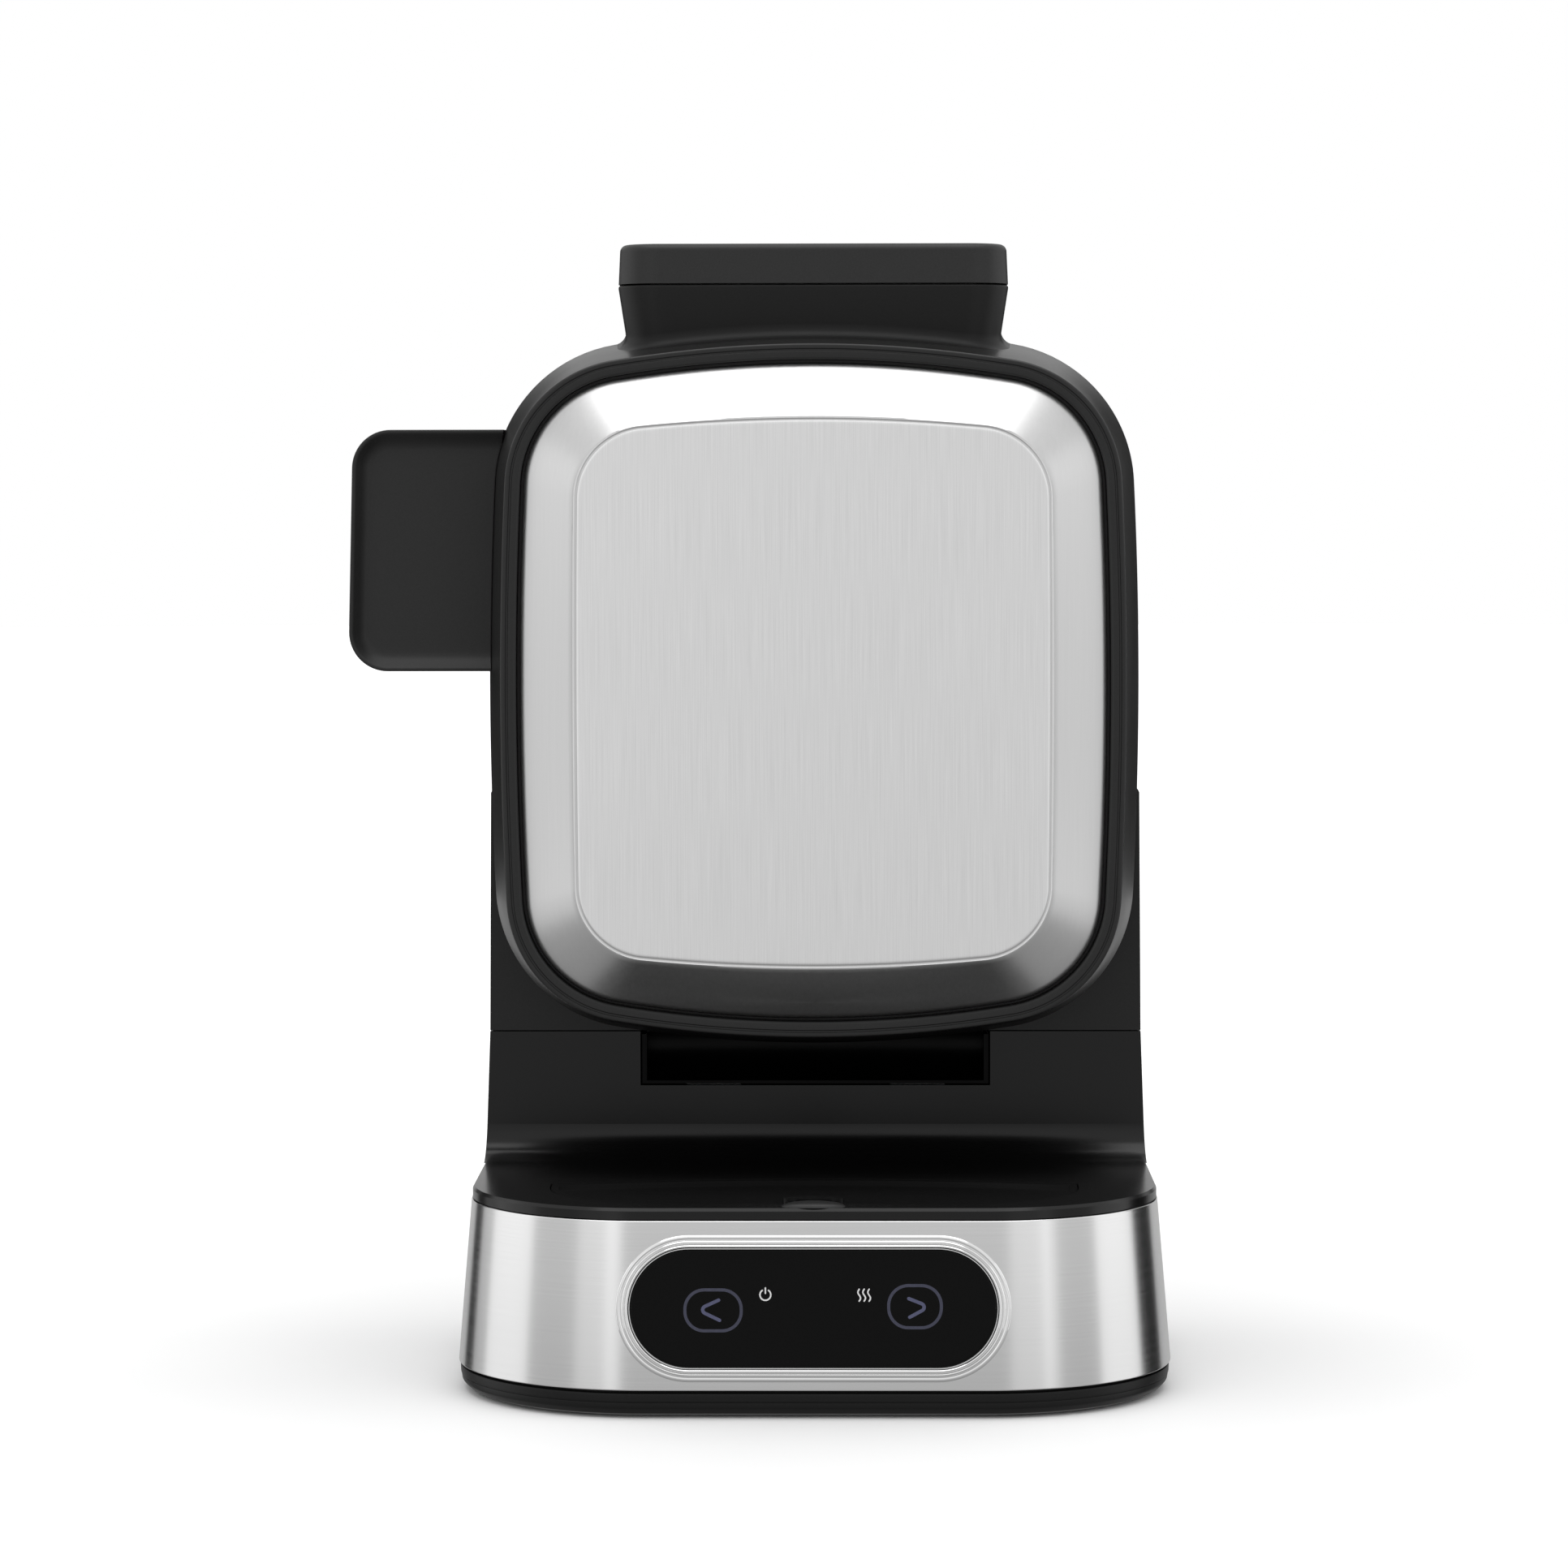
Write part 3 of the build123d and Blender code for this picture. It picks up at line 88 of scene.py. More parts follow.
class Squircle:
    """Closed outline of eight tangent arcs, and the offsets of it."""

    def __init__(self, half_w, half_h, top_arc, side_arc, corner_arc):
        self.half_h = half_h
        self.radii = (top_arc, side_arc, corner_arc)
        self.top = Vector((0, half_h - top_arc))
        self.right = Vector((half_w - side_arc, 0))
        to_top, to_side = top_arc - corner_arc, side_arc - corner_arc
        span = self.right - self.top
        along = (to_top**2 - to_side**2 + span.length_squared) / (2 * span.length)
        unit = span.normalized()
        across = math.sqrt(to_top**2 - along**2)
        sideways = Vector((-unit.y, unit.x)) * across
        self.corner = max((self.top + unit * along + s * sideways for s in (1, -1)), key=lambda p: p.x)
        self.side_angle = math.atan2(*(self.corner - self.right).yx)
        self.top_angle = math.atan2(*(self.corner - self.top).yx)

    def points(self, inset, steps=16):
        """Anticlockwise, from the middle of the right side."""
        top_arc, side_arc, corner_arc = (r - inset for r in self.radii)
        quarter = arc_points(self.right, side_arc, 0.0, self.side_angle, steps)
        quarter += arc_points(self.corner, corner_arc, self.side_angle, self.top_angle, 2 * steps)
        quarter += arc_points(self.top, top_arc, self.top_angle, math.pi / 2, steps)
        quarter.append((0.0, self.half_h - inset))
        upper = quarter + [(-x, y) for x, y in reversed(quarter[:-1])]
        return upper + [(-x, -y) for x, y in upper[1:-1]]

    def height(self, x, inset):
        """Height of the upper edge at x."""
        top_arc, _, corner_arc = (r - inset for r in self.radii)
        reach = self.top.x + top_arc * math.cos(self.top_angle)
        if abs(x) <= reach:
            return self.top.y + math.sqrt(top_arc**2 - x * x)
        return self.corner.y + math.sqrt(corner_arc**2 - (abs(x) - self.corner.x) ** 2)

    def width(self, z, inset):
        """Half width at height z."""
        _, side_arc, corner_arc = (r - inset for r in self.radii)
        if abs(z) <= side_arc * math.sin(self.side_angle):
            return self.right.x + math.sqrt(side_arc**2 - z * z)
        return self.corner.x + math.sqrt(corner_arc**2 - (abs(z) - self.corner.y) ** 2)


HEAD = Squircle(HEAD_HALF_W, HEAD_HALF_H, TOP_ARC, SIDE_ARC, CORNER_ARC)
PLATEAU = Squircle(78.4, 90.0, 577.0, 5000.0, 24.3)


def rounded_rect(half_w, half_h, radii, steps=12, edge=8):
    """Anticlockwise rounded rectangle; its radii start at the lower right corner."""
    corners = ((half_w, -half_h), (half_w, half_h), (-half_w, half_h), (-half_w, -half_h))
    points = []
    for k, ((x, y), r) in enumerate(zip(corners, radii)):
        centre = (x - math.copysign(r, x), y - math.copysign(r, y))
        start = math.radians(90 * k - 90)
        points += arc_points(centre, r, start, start + math.pi / 2, steps)
        end_angle = start + math.pi / 2
        end = (centre[0] + r * math.cos(end_angle), centre[1] + r * math.sin(end_angle))
        (nx, ny), nr = corners[(k + 1) % 4], radii[(k + 1) % 4]
        target = ((nx, ny - nr), (nx + nr, ny), (nx, ny + nr), (nx - nr, ny))[k]
        points += [
            (end[0] + (target[0] - end[0]) * i / edge, end[1] + (target[1] - end[1]) * i / edge)
            for i in range(edge)
        ]
    return points


def base_plan(inset):
    front, rear = FRONT_CORNER - inset, REAR_CORNER - inset
    return rounded_rect(
        BASE_HALF_W - inset, BASE_HALF_D - inset, (front, rear, rear, front), steps=24, edge=16
    )


def stadium(width, height):
    return rounded_rect(width / 2, height / 2, (height / 2,) * 4, steps=20, edge=16)


# ------------------------------------------------------------ mesh helpers
def make_object(name, bm, smooth_angle=40.0):
    """Mesh object from bm, shaded smooth apart from edges sharper than smooth_angle degrees."""
    bmesh.ops.recalc_face_normals(bm, faces=bm.faces)
    for face in bm.faces:
        face.smooth = True
    for edge in bm.edges:
        edge.smooth = len(edge.link_faces) != 2 or edge.calc_face_angle() < math.radians(smooth_angle)
    mesh = bpy.data.meshes.new(name)
    bm.to_mesh(mesh)
    bm.free()
    obj = bpy.data.objects.new(name, mesh)
    SCENE.collection.objects.link(obj)
    return obj


def skin(bm, rings, loop=False, caps=(False, False)):
    """Quads through rings of points in mm; a loop joins last ring to first, caps close the ends."""
    loops = [[bm.verts.new(Vector(p) * MM) for p in ring] for ring in rings]
    pairs = list(zip(loops, loops[1:]))
    if loop:
        pairs.append((loops[-1], loops[0]))
    for a, b in pairs:
        for i in range(len(a)):
            j = (i + 1) % len(a)
            bm.faces.new((a[i], a[j], b[j], b[i]))
    for wanted, ring in zip(caps, (loops[0], loops[-1])):
        if wanted:
            bm.faces.new(ring)


def fillet_arc(corner, before, after, radius, count=6):
    """Points of a profile corner rounded between its neighbours."""
    c, a, b = Vector(corner), Vector(before), Vector(after)
    u, v = (a - c).normalized(), (b - c).normalized()
    half = u.angle(v) / 2
    cut = radius / math.tan(half)
    start, end = c + u * cut, c + v * cut
    centre = c + (u + v).normalized() * (radius / math.sin(half))
    sweep = (start - centre).angle(end - centre)
    p, q = start - centre, end - centre
    return [
        centre + (p * math.sin((1 - t) * sweep) + q * math.sin(t * sweep)) / math.sin(sweep)
        for t in (i / count for i in range(count + 1))
    ]


def rounded_profile(points, closed=True):
    """Profile of (a, b, radius) corners as plain points; a radius of 0 keeps the corner."""
    out = []
    n = len(points)
    for i, (a, b, r) in enumerate(points):
        ends = not closed and i in (0, n - 1)
        if r == 0 or ends:
            out.append(Vector((a, b)))
            continue
        out += fillet_arc((a, b), points[i - 1][:2], points[(i + 1) % n][:2], r)
    return out


def head_ring(inset, y):
    return [(x, y, HEAD_Z + z) for x, z in HEAD.points(inset)]


def plan_ring(inset, z):
    return [(x, y, z) for x, y in base_plan(inset)]


def on_panel(u, v, lift):
    """Point in mm over the drafted front of the base."""
    s, c = math.sin(PANEL_TILT), math.cos(PANEL_TILT)
    return (u, PANEL_Y + v * s - lift * c, PANEL_Z + v * c + lift * s)


def flare_at(y):
    return FLARE * (y - RIM_Y) / (PARTING_Y - RIM_Y)


# ------------------------------------------------------------ materials
def material(name, colour, roughness, metallic=0.0, specular=0.5):
    mat = bpy.data.materials.new(name)
    mat.use_nodes = True
    shader = mat.node_tree.nodes["Principled BSDF"]
    shader.inputs["Base Color"].default_value = (*colour, 1)
    shader.inputs["Roughness"].default_value = roughness
    shader.inputs["Metallic"].default_value = metallic
    shader.inputs["Specular IOR Level"].default_value = specular
    return mat


def wire(mat, a, out, b, into):
    mat.node_tree.links.new(a.outputs[out], b.inputs[into])


def noise_node(mat, scale, stretch=(1, 1, 1), detail=3.0, roughness=0.55):
    """Noise in the object's own space, squeezed by stretch."""
    tree = mat.node_tree
    coords = tree.nodes.new("ShaderNodeTexCoord")
    mapping = tree.nodes.new("ShaderNodeMapping")
    mapping.inputs["Scale"].default_value = stretch
    noise = tree.nodes.new("ShaderNodeTexNoise")
    noise.inputs["Scale"].default_value = scale
    noise.inputs["Detail"].default_value = detail
    noise.inputs["Roughness"].default_value = roughness
    wire(mat, coords, "Object", mapping, "Vector")
    wire(mat, mapping, "Vector", noise, "Vector")
    return noise


def vary_roughness(mat, noise, low, high):
    spread = mat.node_tree.nodes.new("ShaderNodeMapRange")
    spread.inputs["To Min"].default_value = low
    spread.inputs["To Max"].default_value = high
    wire(mat, noise, "Fac", spread, "Value")
    wire(mat, spread, "Result", mat.node_tree.nodes["Principled BSDF"], "Roughness")


def vary_colour(mat, noise, dark, light, low=0.3, high=0.7):
    ramp = mat.node_tree.nodes.new("ShaderNodeValToRGB")
    ramp.color_ramp.elements[0].position = low
    ramp.color_ramp.elements[1].position = high
    ramp.color_ramp.elements[0].color = (*dark, 1)
    ramp.color_ramp.elements[1].color = (*light, 1)
    wire(mat, noise, "Fac", ramp, "Fac")
    wire(mat, ramp, "Color", mat.node_tree.nodes["Principled BSDF"], "Base Color")


def add_bump(mat, noise, strength, distance):
    bump = mat.node_tree.nodes.new("ShaderNodeBump")
    bump.inputs["Strength"].default_value = strength
    bump.inputs["Distance"].default_value = distance
    wire(mat, noise, "Fac", bump, "Height")
    wire(mat, bump, "Normal", mat.node_tree.nodes["Principled BSDF"], "Normal")


def grey(value):
    return (value, value, value)


def plastic(name, value, roughness, specular, grain=0.00003):
    """Moulded plastic: an even colour with a fine spark-eroded grain."""
    mat = material(name, grey(value), roughness, specular=specular)
    fine = noise_node(mat, 1800, detail=2.0)
    broad = noise_node(mat, 60, detail=3.0)
    vary_roughness(mat, broad, roughness - 0.03, roughness + 0.03)
    vary_colour(mat, fine, grey(value * 0.9), grey(value * 1.12))
    add_bump(mat, fine, 0.35, grain)
    return mat


def brushed(name, value, roughness, grain, anisotropic, streak=0.06, bump=0.00002):
    """Brushed steel; grain is how much finer the streaks are along each axis."""
    mat = material(name, grey(value), roughness, metallic=1.0)
    shader = mat.node_tree.nodes["Principled BSDF"]
    shader.inputs["Anisotropic"].default_value = anisotropic
    streaks = noise_node(mat, 1, stretch=grain, detail=4.0, roughness=0.65)
    vary_colour(mat, streaks, grey(value * (1 - streak)), grey(min(1, value * (1 + streak))))
    vary_roughness(mat, streaks, roughness - 0.05, roughness + 0.05)
    add_bump(mat, streaks, 0.3, bump)
    return mat


M_BLACK = plastic("matte_black_plastic", 0.009, 0.40, 0.20)
M_LID = plastic("lid_black_plastic", 0.020, 0.42, 0.34)
M_RIM = plastic("rim_black_plastic", 0.013, 0.32, 0.40)
M_BODY = plastic("body_black_plastic", 0.012, 0.38, 0.34)
M_DECK = plastic("deck_black_plastic", 0.004, 0.22, 0.38, grain=0.000006)
M_GLOSS = plastic("gloss_black_plastic", 0.003, 0.20, 0.25, grain=0.000006)
# near-black, low-sheen plastic for the hinge notch: painted shade, darkening the recess under the head
# past what its lighting gives
M_NOTCH_SHADE = plastic("notch_black_painted_shade", 0.001, 0.30, 0.10)
M_HANDLE = plastic("handle_black_plastic", 0.017, 0.45, 0.35)
M_FACE = brushed("brushed_face_steel", 0.93, 0.34, (2600, 2600, 26), 0.5)
M_BEVEL = brushed("satin_bevel_steel", 0.67, 0.33, (900, 900, 30), 0.2, streak=0.02, bump=0.000006)
M_BAND = brushed("band_steel", 0.76, 0.19, (12, 12, 1600), 0.2, streak=0.02, bump=0.000003)
M_CHROME = brushed("bezel_chrome", 0.86, 0.07, (40, 40, 900), 0.0, streak=0.01, bump=0.000002)
M_LENS = plastic("lens_black", 0.004, 0.06, 0.09, grain=0.000001)
M_RUBBER = plastic("rubber_black", 0.012, 0.75, 0.2)
M_CAST = plastic("nonstick_cast_plate", 0.020, 0.38, 0.5)
M_ZINC = brushed("zinc_steel", 0.55, 0.35, (200, 200, 200), 0.0, streak=0.10)
M_ELEMENT = brushed("element_sheath", 0.30, 0.45, (300, 300, 300), 0.0, streak=0.10)
M_REFLECTOR = brushed("aluminised_sheet", 0.70, 0.28, (20, 20, 600), 0.3, streak=0.05)
M_MAGNET = brushed("magnet_nickel", 0.45, 0.25, (250, 250, 250), 0.0, streak=0.06)


def coloured(name, dark, light, roughness, scale=400, grain=0.00005):
    mat = material(name, light, roughness)
    noise = noise_node(mat, scale)
    vary_colour(mat, noise, dark, light)
    vary_roughness(mat, noise, roughness - 0.05, roughness + 0.05)
    add_bump(mat, noise, 0.4, grain)
    return mat


M_INSULATION = coloured("fibre_insulation", (0.62, 0.60, 0.54), (0.80, 0.78, 0.72), 0.95, 300, 0.0004)
M_SILICONE = coloured("grey_silicone", (0.16, 0.16, 0.16), (0.20, 0.20, 0.20), 0.6)
M_BOARD = coloured("circuit_board", (0.010, 0.10, 0.035), (0.016, 0.15, 0.055), 0.45)
M_COMPONENT = coloured("component_body", (0.02, 0.02, 0.024), (0.035, 0.035, 0.04), 0.5)
M_COPPER = coloured("wound_copper", (0.45, 0.16, 0.05), (0.70, 0.28, 0.10), 0.35, 900)
M_MARK = coloured("touch_mark_ink", (0.075, 0.080, 0.150), (0.095, 0.100, 0.190), 0.5, 1500, 0.00001)
M_OVAL = coloured("touch_outline_ink", (0.036, 0.038, 0.066), (0.050, 0.052, 0.090), 0.5, 1500, 0.00001)
M_ICON = coloured("icon_white_ink", (0.80, 0.80, 0.80), (0.92, 0.92, 0.92), 0.5, 1500, 0.00001)

SLOT_MATERIALS = {
    "black_plastic": M_BLACK,
    "gloss_black": M_GLOSS,
    "brushed_face": M_FACE,
    "band_steel": M_BAND,
    "bezel_chrome": M_CHROME,
    "lens_black": M_LENS,
    "rubber": M_RUBBER,
    "cast_plate": M_CAST,
    "zinc_steel": M_ZINC,
    "element": M_ELEMENT,
    "reflector": M_REFLECTOR,
    "insulation": M_INSULATION,
    "silicone": M_SILICONE,
    "board": M_BOARD,
    "component": M_COMPONENT,
    "copper_part": M_COPPER,
    "magnet": M_MAGNET,
}


def paint(obj, *mats):
    obj.data.materials.clear()
    for mat in mats:
        obj.data.materials.append(mat)


for entry in frame["record"]["subparts"]:
    paint(NODES[entry["node"]], SLOT_MATERIALS[entry["material_slot"]])
# the notch under the head takes the painted-shade plastic
paint(NODES["hinge_cover"], M_NOTCH_SHADE)
paint(NODES["lid_shell"], M_LID)
paint(NODES["column_housing"], M_BODY)
paint(NODES["upper_housing"], M_DECK)


# ------------------------------------------------------------ steel face
def face_profile():
    """Steps (share of the way from the steel's edge to the plateau's outline, inset past it, depth)."""
    rise = PLATEAU_Y - STEEL_EDGE_Y
    steps = [(0.0, 0.0, STEEL_EDGE_Y + STEEL_FLANGE), (0.0, 0.0, STEEL_EDGE_Y + 0.9)]
    steps += [(0.0, 0.15, STEEL_EDGE_Y + 0.3), (0.015, 0.15, STEEL_EDGE_Y - 0.05)]
    steps += [(t, 0.0, STEEL_EDGE_Y + rise * t) for t in (0.04, 0.12, 0.25, 0.5, 0.75, 0.9, 0.97)]
    groove = [(0.0, 0.12), (0.25, 0.16), (0.45, 0.26), (0.7, 0.34)]
    groove += [(0.95, 0.26), (1.2, 0.12), (1.45, 0.03)]
    steps += [(1.0, inset, PLATEAU_Y + sink) for inset, sink in groove]
    steps += [(1.0, inset, PLATEAU_Y) for inset in (1.7, 2.2, 6.0)]
    return steps


def face_ring(share, inset, y):
    outer = HEAD.points(STEEL_INSET + (inset if share < 0.5 else 0))
    inner = PLATEAU.points(inset if share >= 0.5 else 0)
    return [
        (a + (c - a) * share, y, HEAD_Z + b + (d - b) * share) for (a, b), (c, d) in zip(outer, inner)
    ]


bm = bmesh.new()
front = [face_ring(*step) for step in face_profile()]
skin(bm, front, caps=(False, True))
inner = [face_ring(0.0, 1.0, STEEL_EDGE_Y + STEEL_FLANGE), face_ring(0.0, 1.0, STEEL_EDGE_Y + 1.0)]
inner += [face_ring(1.0, 0.4, PLATEAU_Y + 1.0), face_ring(1.0, 6.0, PLATEAU_Y + 1.0)]
skin(bm, [front[0]] + inner, caps=(False, True))
bmesh.ops.remove_doubles(bm, verts=bm.verts, dist=1e-7)
steel_face = make_object("steel_face", bm)
paint(steel_face, M_FACE, M_BEVEL)
for polygon in steel_face.data.polygons:
    centre = polygon.center
    on_top = centre.y < (PLATEAU_Y + 0.2) * MM and polygon.normal.y < -0.9
    polygon.material_index = 0 if on_top else 1
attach(steel_face, "door")
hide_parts("face_plate")


# ------------------------------------------------------------ spout with its hollow foot
def spout_outline(z, offset):
    t = (z - SPOUT_FOOT_Z) / (SPOUT_Z - SPOUT_FOOT_Z)
    half_w = SPOUT_HALF_W - 3.4 * (1 - t) + offset
    half_d = SPOUT_HALF_D - 3.0 * (1 - t) + offset
    corner = SPOUT_CORNER - 1.0 * (1 - t) + offset
    return rounded_rect(half_w, half_d, (corner,) * 4, steps=14, edge=24)


def head_top(x, y):
    inset = flare_at(min(y, PARTING_Y))
    return HEAD_Z + HEAD.height(x, inset)


def spout_foot_ring(angle, radius, sink=0.0, shift=0.0):
    """Ring of the concave foot: angle 0 leaves the spout's wall, 90 degrees lies on the head."""
    offset = radius * (1 - math.cos(angle)) + shift
    lift = radius * (1 - math.sin(angle)) - sink
    near = spout_outline(350.0, offset)
    ring = []
    for i, (x, y) in enumerate(near):
        z = head_top(x, y + PARTING_Y) + lift
        u, v = spout_outline(z, offset)[i]
        ring.append((u, v + PARTING_Y, z))
    return ring


def funnel_ring(z, wall=0.0):
    rise = (z - FUNNEL_FOOT) / (SPOUT_Z - FUNNEL_FOOT)
    half_w = CHANNEL_HALF_W + (FUNNEL_HALF_W - CHANNEL_HALF_W) * rise + wall
    half_d = CHANNEL_DEPTH + (FUNNEL_HALF_D - CHANNEL_DEPTH) * rise + wall
    outline = rounded_rect(half_w, half_d, (4 + 6 * rise + wall,) * 4, steps=14, edge=24)
    return [(x, y + PARTING_Y, z) for x, y in outline]


def plan_at(z, offset):
    return [(x, y + PARTING_Y, z) for x, y in spout_outline(z, offset)]


FOOT_R = 4.6
foot_angles = [math.radians(a) for a in range(0, 91, 10)]


def spout_half(name, front_half):
    rings = [plan_at(SPOUT_Z, -0.9), plan_at(SPOUT_Z - 0.12, -0.45), plan_at(SPOUT_Z - 0.4, -0.15)]
    rings += [plan_at(SPOUT_Z - 0.9, 0.0)]
    rings += [spout_foot_ring(angle, FOOT_R) for angle in foot_angles]
    rings += [spout_foot_ring(foot_angles[-1], FOOT_R, sink=1.2, shift=-0.1)]
    rings += [funnel_ring(343.0, 2.5), funnel_ring(FUNNEL_FOOT, 2.5), funnel_ring(FUNNEL_FOOT)]
    rings += [funnel_ring(345.0), funnel_ring(SPOUT_Z - 0.5), funnel_ring(SPOUT_Z, 0.4)]
    bm = bmesh.new()
    skin(bm, rings, loop=True)
    cut_y = (PARTING_Y - FACE_GAP if front_half else PARTING_Y + FACE_GAP + 0.1) * MM
    bmesh.ops.bisect_plane(
        bm,
        geom=bm.verts[:] + bm.edges[:] + bm.faces[:],
        plane_co=(0, cut_y, 0),
        plane_no=(0, 1, 0),
        clear_outer=front_half,
        clear_inner=not front_half,
    )
    rim = [e for e in bm.edges if e.is_boundary]
    bmesh.ops.holes_fill(bm, edges=rim, sides=0)
    return make_object(name, bm)


door_spout = spout_half("door_spout", True)
paint(door_spout, M_BLACK)
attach(door_spout, "door")

# ------------------------------------------------------------ door shell
bm = bmesh.new()
DOOR_FACE = PARTING_Y - FACE_GAP
shell_profile = rounded_profile(
    [
        (FLARE, DOOR_FACE, 0.4),
        (flare_at(RIM_Y), RIM_Y, 0.9),
        (1.5, RIM_Y, 0.1),
        (1.8, RIM_Y + 0.35, 0.1),
        (2.2, RIM_Y + 0.35, 0.1),
        (2.5, RIM_Y + 0.05, 0.1),
        (RIM_OPENING, RIM_Y + 0.15, 0.9),
        (RIM_OPENING, SEAT_Y, 0),
        (SEAT_INSET, SEAT_Y, 0),
        (SEAT_INSET, SEAT_Y + 2.0, 0),
        (flare_at(SEAT_Y) + WALL, SEAT_Y + 2.0, 0),
        (FLARE + WALL, DOOR_FACE, 0.4),
    ]
)
skin(bm, [head_ring(inset, y) for inset, y in shell_profile], loop=True)
door_wall = make_object("door_wall", bm)
paint(door_wall, M_RIM)

bm = bmesh.new()
skin(bm, [funnel_ring(FUNNEL_FOOT - 1, 0.6), funnel_ring(366.0, 0.6)], caps=(True, True))
throat_cutter = make_object("throat_cutter", bm)


def cut_away(obj, cutter):
    """Boolean difference, applied."""
    cut = obj.modifiers.new("cut", "BOOLEAN")
    cut.operation = "DIFFERENCE"
    cut.solver = "EXACT"
    cut.object = cutter
    depsgraph = bpy.context.evaluated_depsgraph_get()
    mesh = bpy.data.meshes.new_from_object(obj.evaluated_get(depsgraph))
    obj.modifiers.clear()
    obj.data = mesh
    obj.data.name = obj.name


cut_away(door_wall, throat_cutter)
bpy.data.objects.remove(throat_cutter)
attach(door_wall, "door")
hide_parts("door_shell")


# ------------------------------------------------------------ paddle handle
HANDLE_INNER_X = -104.0
HANDLE_GAP = 0.25


def handle_points(inset, corner_steps=16, edge=20):
    """Outline of the paddle as (x, z): up its inner end, then anticlockwise round the tip."""
    low, high = HANDLE_LOW + inset, HANDLE_HIGH - inset
    foot, top = HANDLE_TIP_X + inset, HANDLE_TIP_X + HANDLE_LEAN + inset
    r = HANDLE_CORNER - inset
    lean = math.atan2(HANDLE_LEAN, HANDLE_HIGH - HANDLE_LOW)
    centre_top = (top + r - HANDLE_LEAN * r / (high - low), high - r)
    centre_low = (foot + r + HANDLE_LEAN * r / (high - low), low + r)
    points = [(HANDLE_INNER_X, low + (high - low) * i / edge) for i in range(edge)]
    points += [
        (HANDLE_INNER_X + (centre_top[0] - HANDLE_INNER_X) * i / edge, high) for i in range(edge)
    ]
    points += arc_points(centre_top, r, math.pi / 2, math.pi - lean, corner_steps)
    a = (centre_top[0] - r * math.cos(lean), centre_top[1] + r * math.sin(lean))
    b = (centre_low[0] - r * math.cos(lean), centre_low[1] + r * math.sin(lean))
    points += [(a[0] + (b[0] - a[0]) * i / edge, a[1] + (b[1] - a[1]) * i / edge) for i in range(edge)]
    points += arc_points(centre_low, r, math.pi - lean, 1.5 * math.pi, corner_steps)
    points += [
        (centre_low[0] + (HANDLE_INNER_X - centre_low[0]) * i / edge, low) for i in range(edge)
    ]
    return points


def handle_ring(inset, y):
    """Ring of the paddle, its inner end kept just clear of the head's wall."""
    wall = flare_at(min(y, PARTING_Y)) - HANDLE_GAP
    return [(min(x, -HEAD.width(z - HEAD_Z, wall)), y, z) for x, z in handle_points(inset)]


bm = bmesh.new()
rings = [handle_ring(0.5, HANDLE_JOINT_Y), handle_ring(0.0, HANDLE_JOINT_Y - 0.5)]
rings += [handle_ring(0.0, y) for y in (-17.0, HANDLE_FRONT_Y + 0.7)]
rings += [handle_ring(0.2, HANDLE_FRONT_Y + 0.2), handle_ring(0.7, HANDLE_FRONT_Y)]
rings += [handle_ring(1.1, HANDLE_FRONT_Y + 0.12), handle_ring(1.6, HANDLE_FRONT_Y + 0.5)]
rings += [handle_ring(3.0, HANDLE_FRONT_Y + 1.9), handle_ring(4.4, HANDLE_FRONT_Y + 2.9)]
rings += [handle_ring(5.6, HANDLE_FRONT_Y + 3.4), handle_ring(6.6, HANDLE_FRONT_Y + 3.5)]
rings += [handle_ring(9.0, HANDLE_FRONT_Y + 3.5)]
skin(bm, rings, caps=(True, True))
handle_front_skin = make_object("handle_front_skin", bm)
paint(handle_front_skin, M_HANDLE)
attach(handle_front_skin, "door")
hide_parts("handle_front")

bm = bmesh.new()
rings = [handle_ring(0.5, HANDLE_JOINT_Y + 0.1), handle_ring(0.0, HANDLE_JOINT_Y + 0.6)]
rings += [handle_ring(0.0, y) for y in (-6.0, HANDLE_BACK_Y - 5.0)]
rings += [
    handle_ring(5 * (1 - math.cos(a)), HANDLE_BACK_Y - 5 * (1 - math.sin(a)))
    for a in (math.radians(d) for d in (15, 30, 45, 60, 75, 90))
]
skin(bm, rings, caps=(True, True))
handle_rear_skin = make_object("handle_rear_skin", bm)
paint(handle_rear_skin, M_HANDLE)
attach(handle_rear_skin, "door")
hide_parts("handle_rear")


# ------------------------------------------------------------ steel band
BAND_DRAFT = BAND_INSET / (BAND_TOP - BAND_Z)


def band_inset(z):
    return (z - BAND_Z) * BAND_DRAFT


bm = bmesh.new()
band_profile = rounded_profile(
    [
        (band_inset(BAND_Z), BAND_Z, 0.4),
        (band_inset(BAND_TOP), BAND_TOP, 0.55),
        (band_inset(BAND_TOP) + 1.2, BAND_TOP, 0.4),
        (band_inset(BAND_Z) + 1.2, BAND_Z, 0.4),
    ]
)
skin(bm, [plan_ring(inset, z) for inset, z in band_profile], loop=True)
band_skin = make_object("band_skin", bm)
paint(band_skin, M_BAND)
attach(band_skin, "stand")
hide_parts("steel_band")


def foot_skin(name, profile, mat):
    """Thin shell round the foot, from outside to inside of its profile."""
    bm = bmesh.new()
    skin(bm, [plan_ring(inset, z) for inset, z in rounded_profile(profile)], loop=True)
    obj = make_object(name, bm)
    paint(obj, mat)
    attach(obj, "stand")


foot_skin(
    "trim_skin", [(0.66, 5.55, 0.3), (0.55, 8.35, 0.6), (2.4, 8.35, 0), (2.4, 5.55, 0)], M_BLACK
)
foot_skin(
    "cover_skin",
    [
        (0.85, 5.4, 0.35),
        (1.1, 3.4, 2.0),
        (3.0, 1.4, 1.6),
        (5.2, 0.65, 0.3),
        (5.6, 1.4, 0),
        (2.2, 5.2, 0),
    ],
    M_BLACK,
)

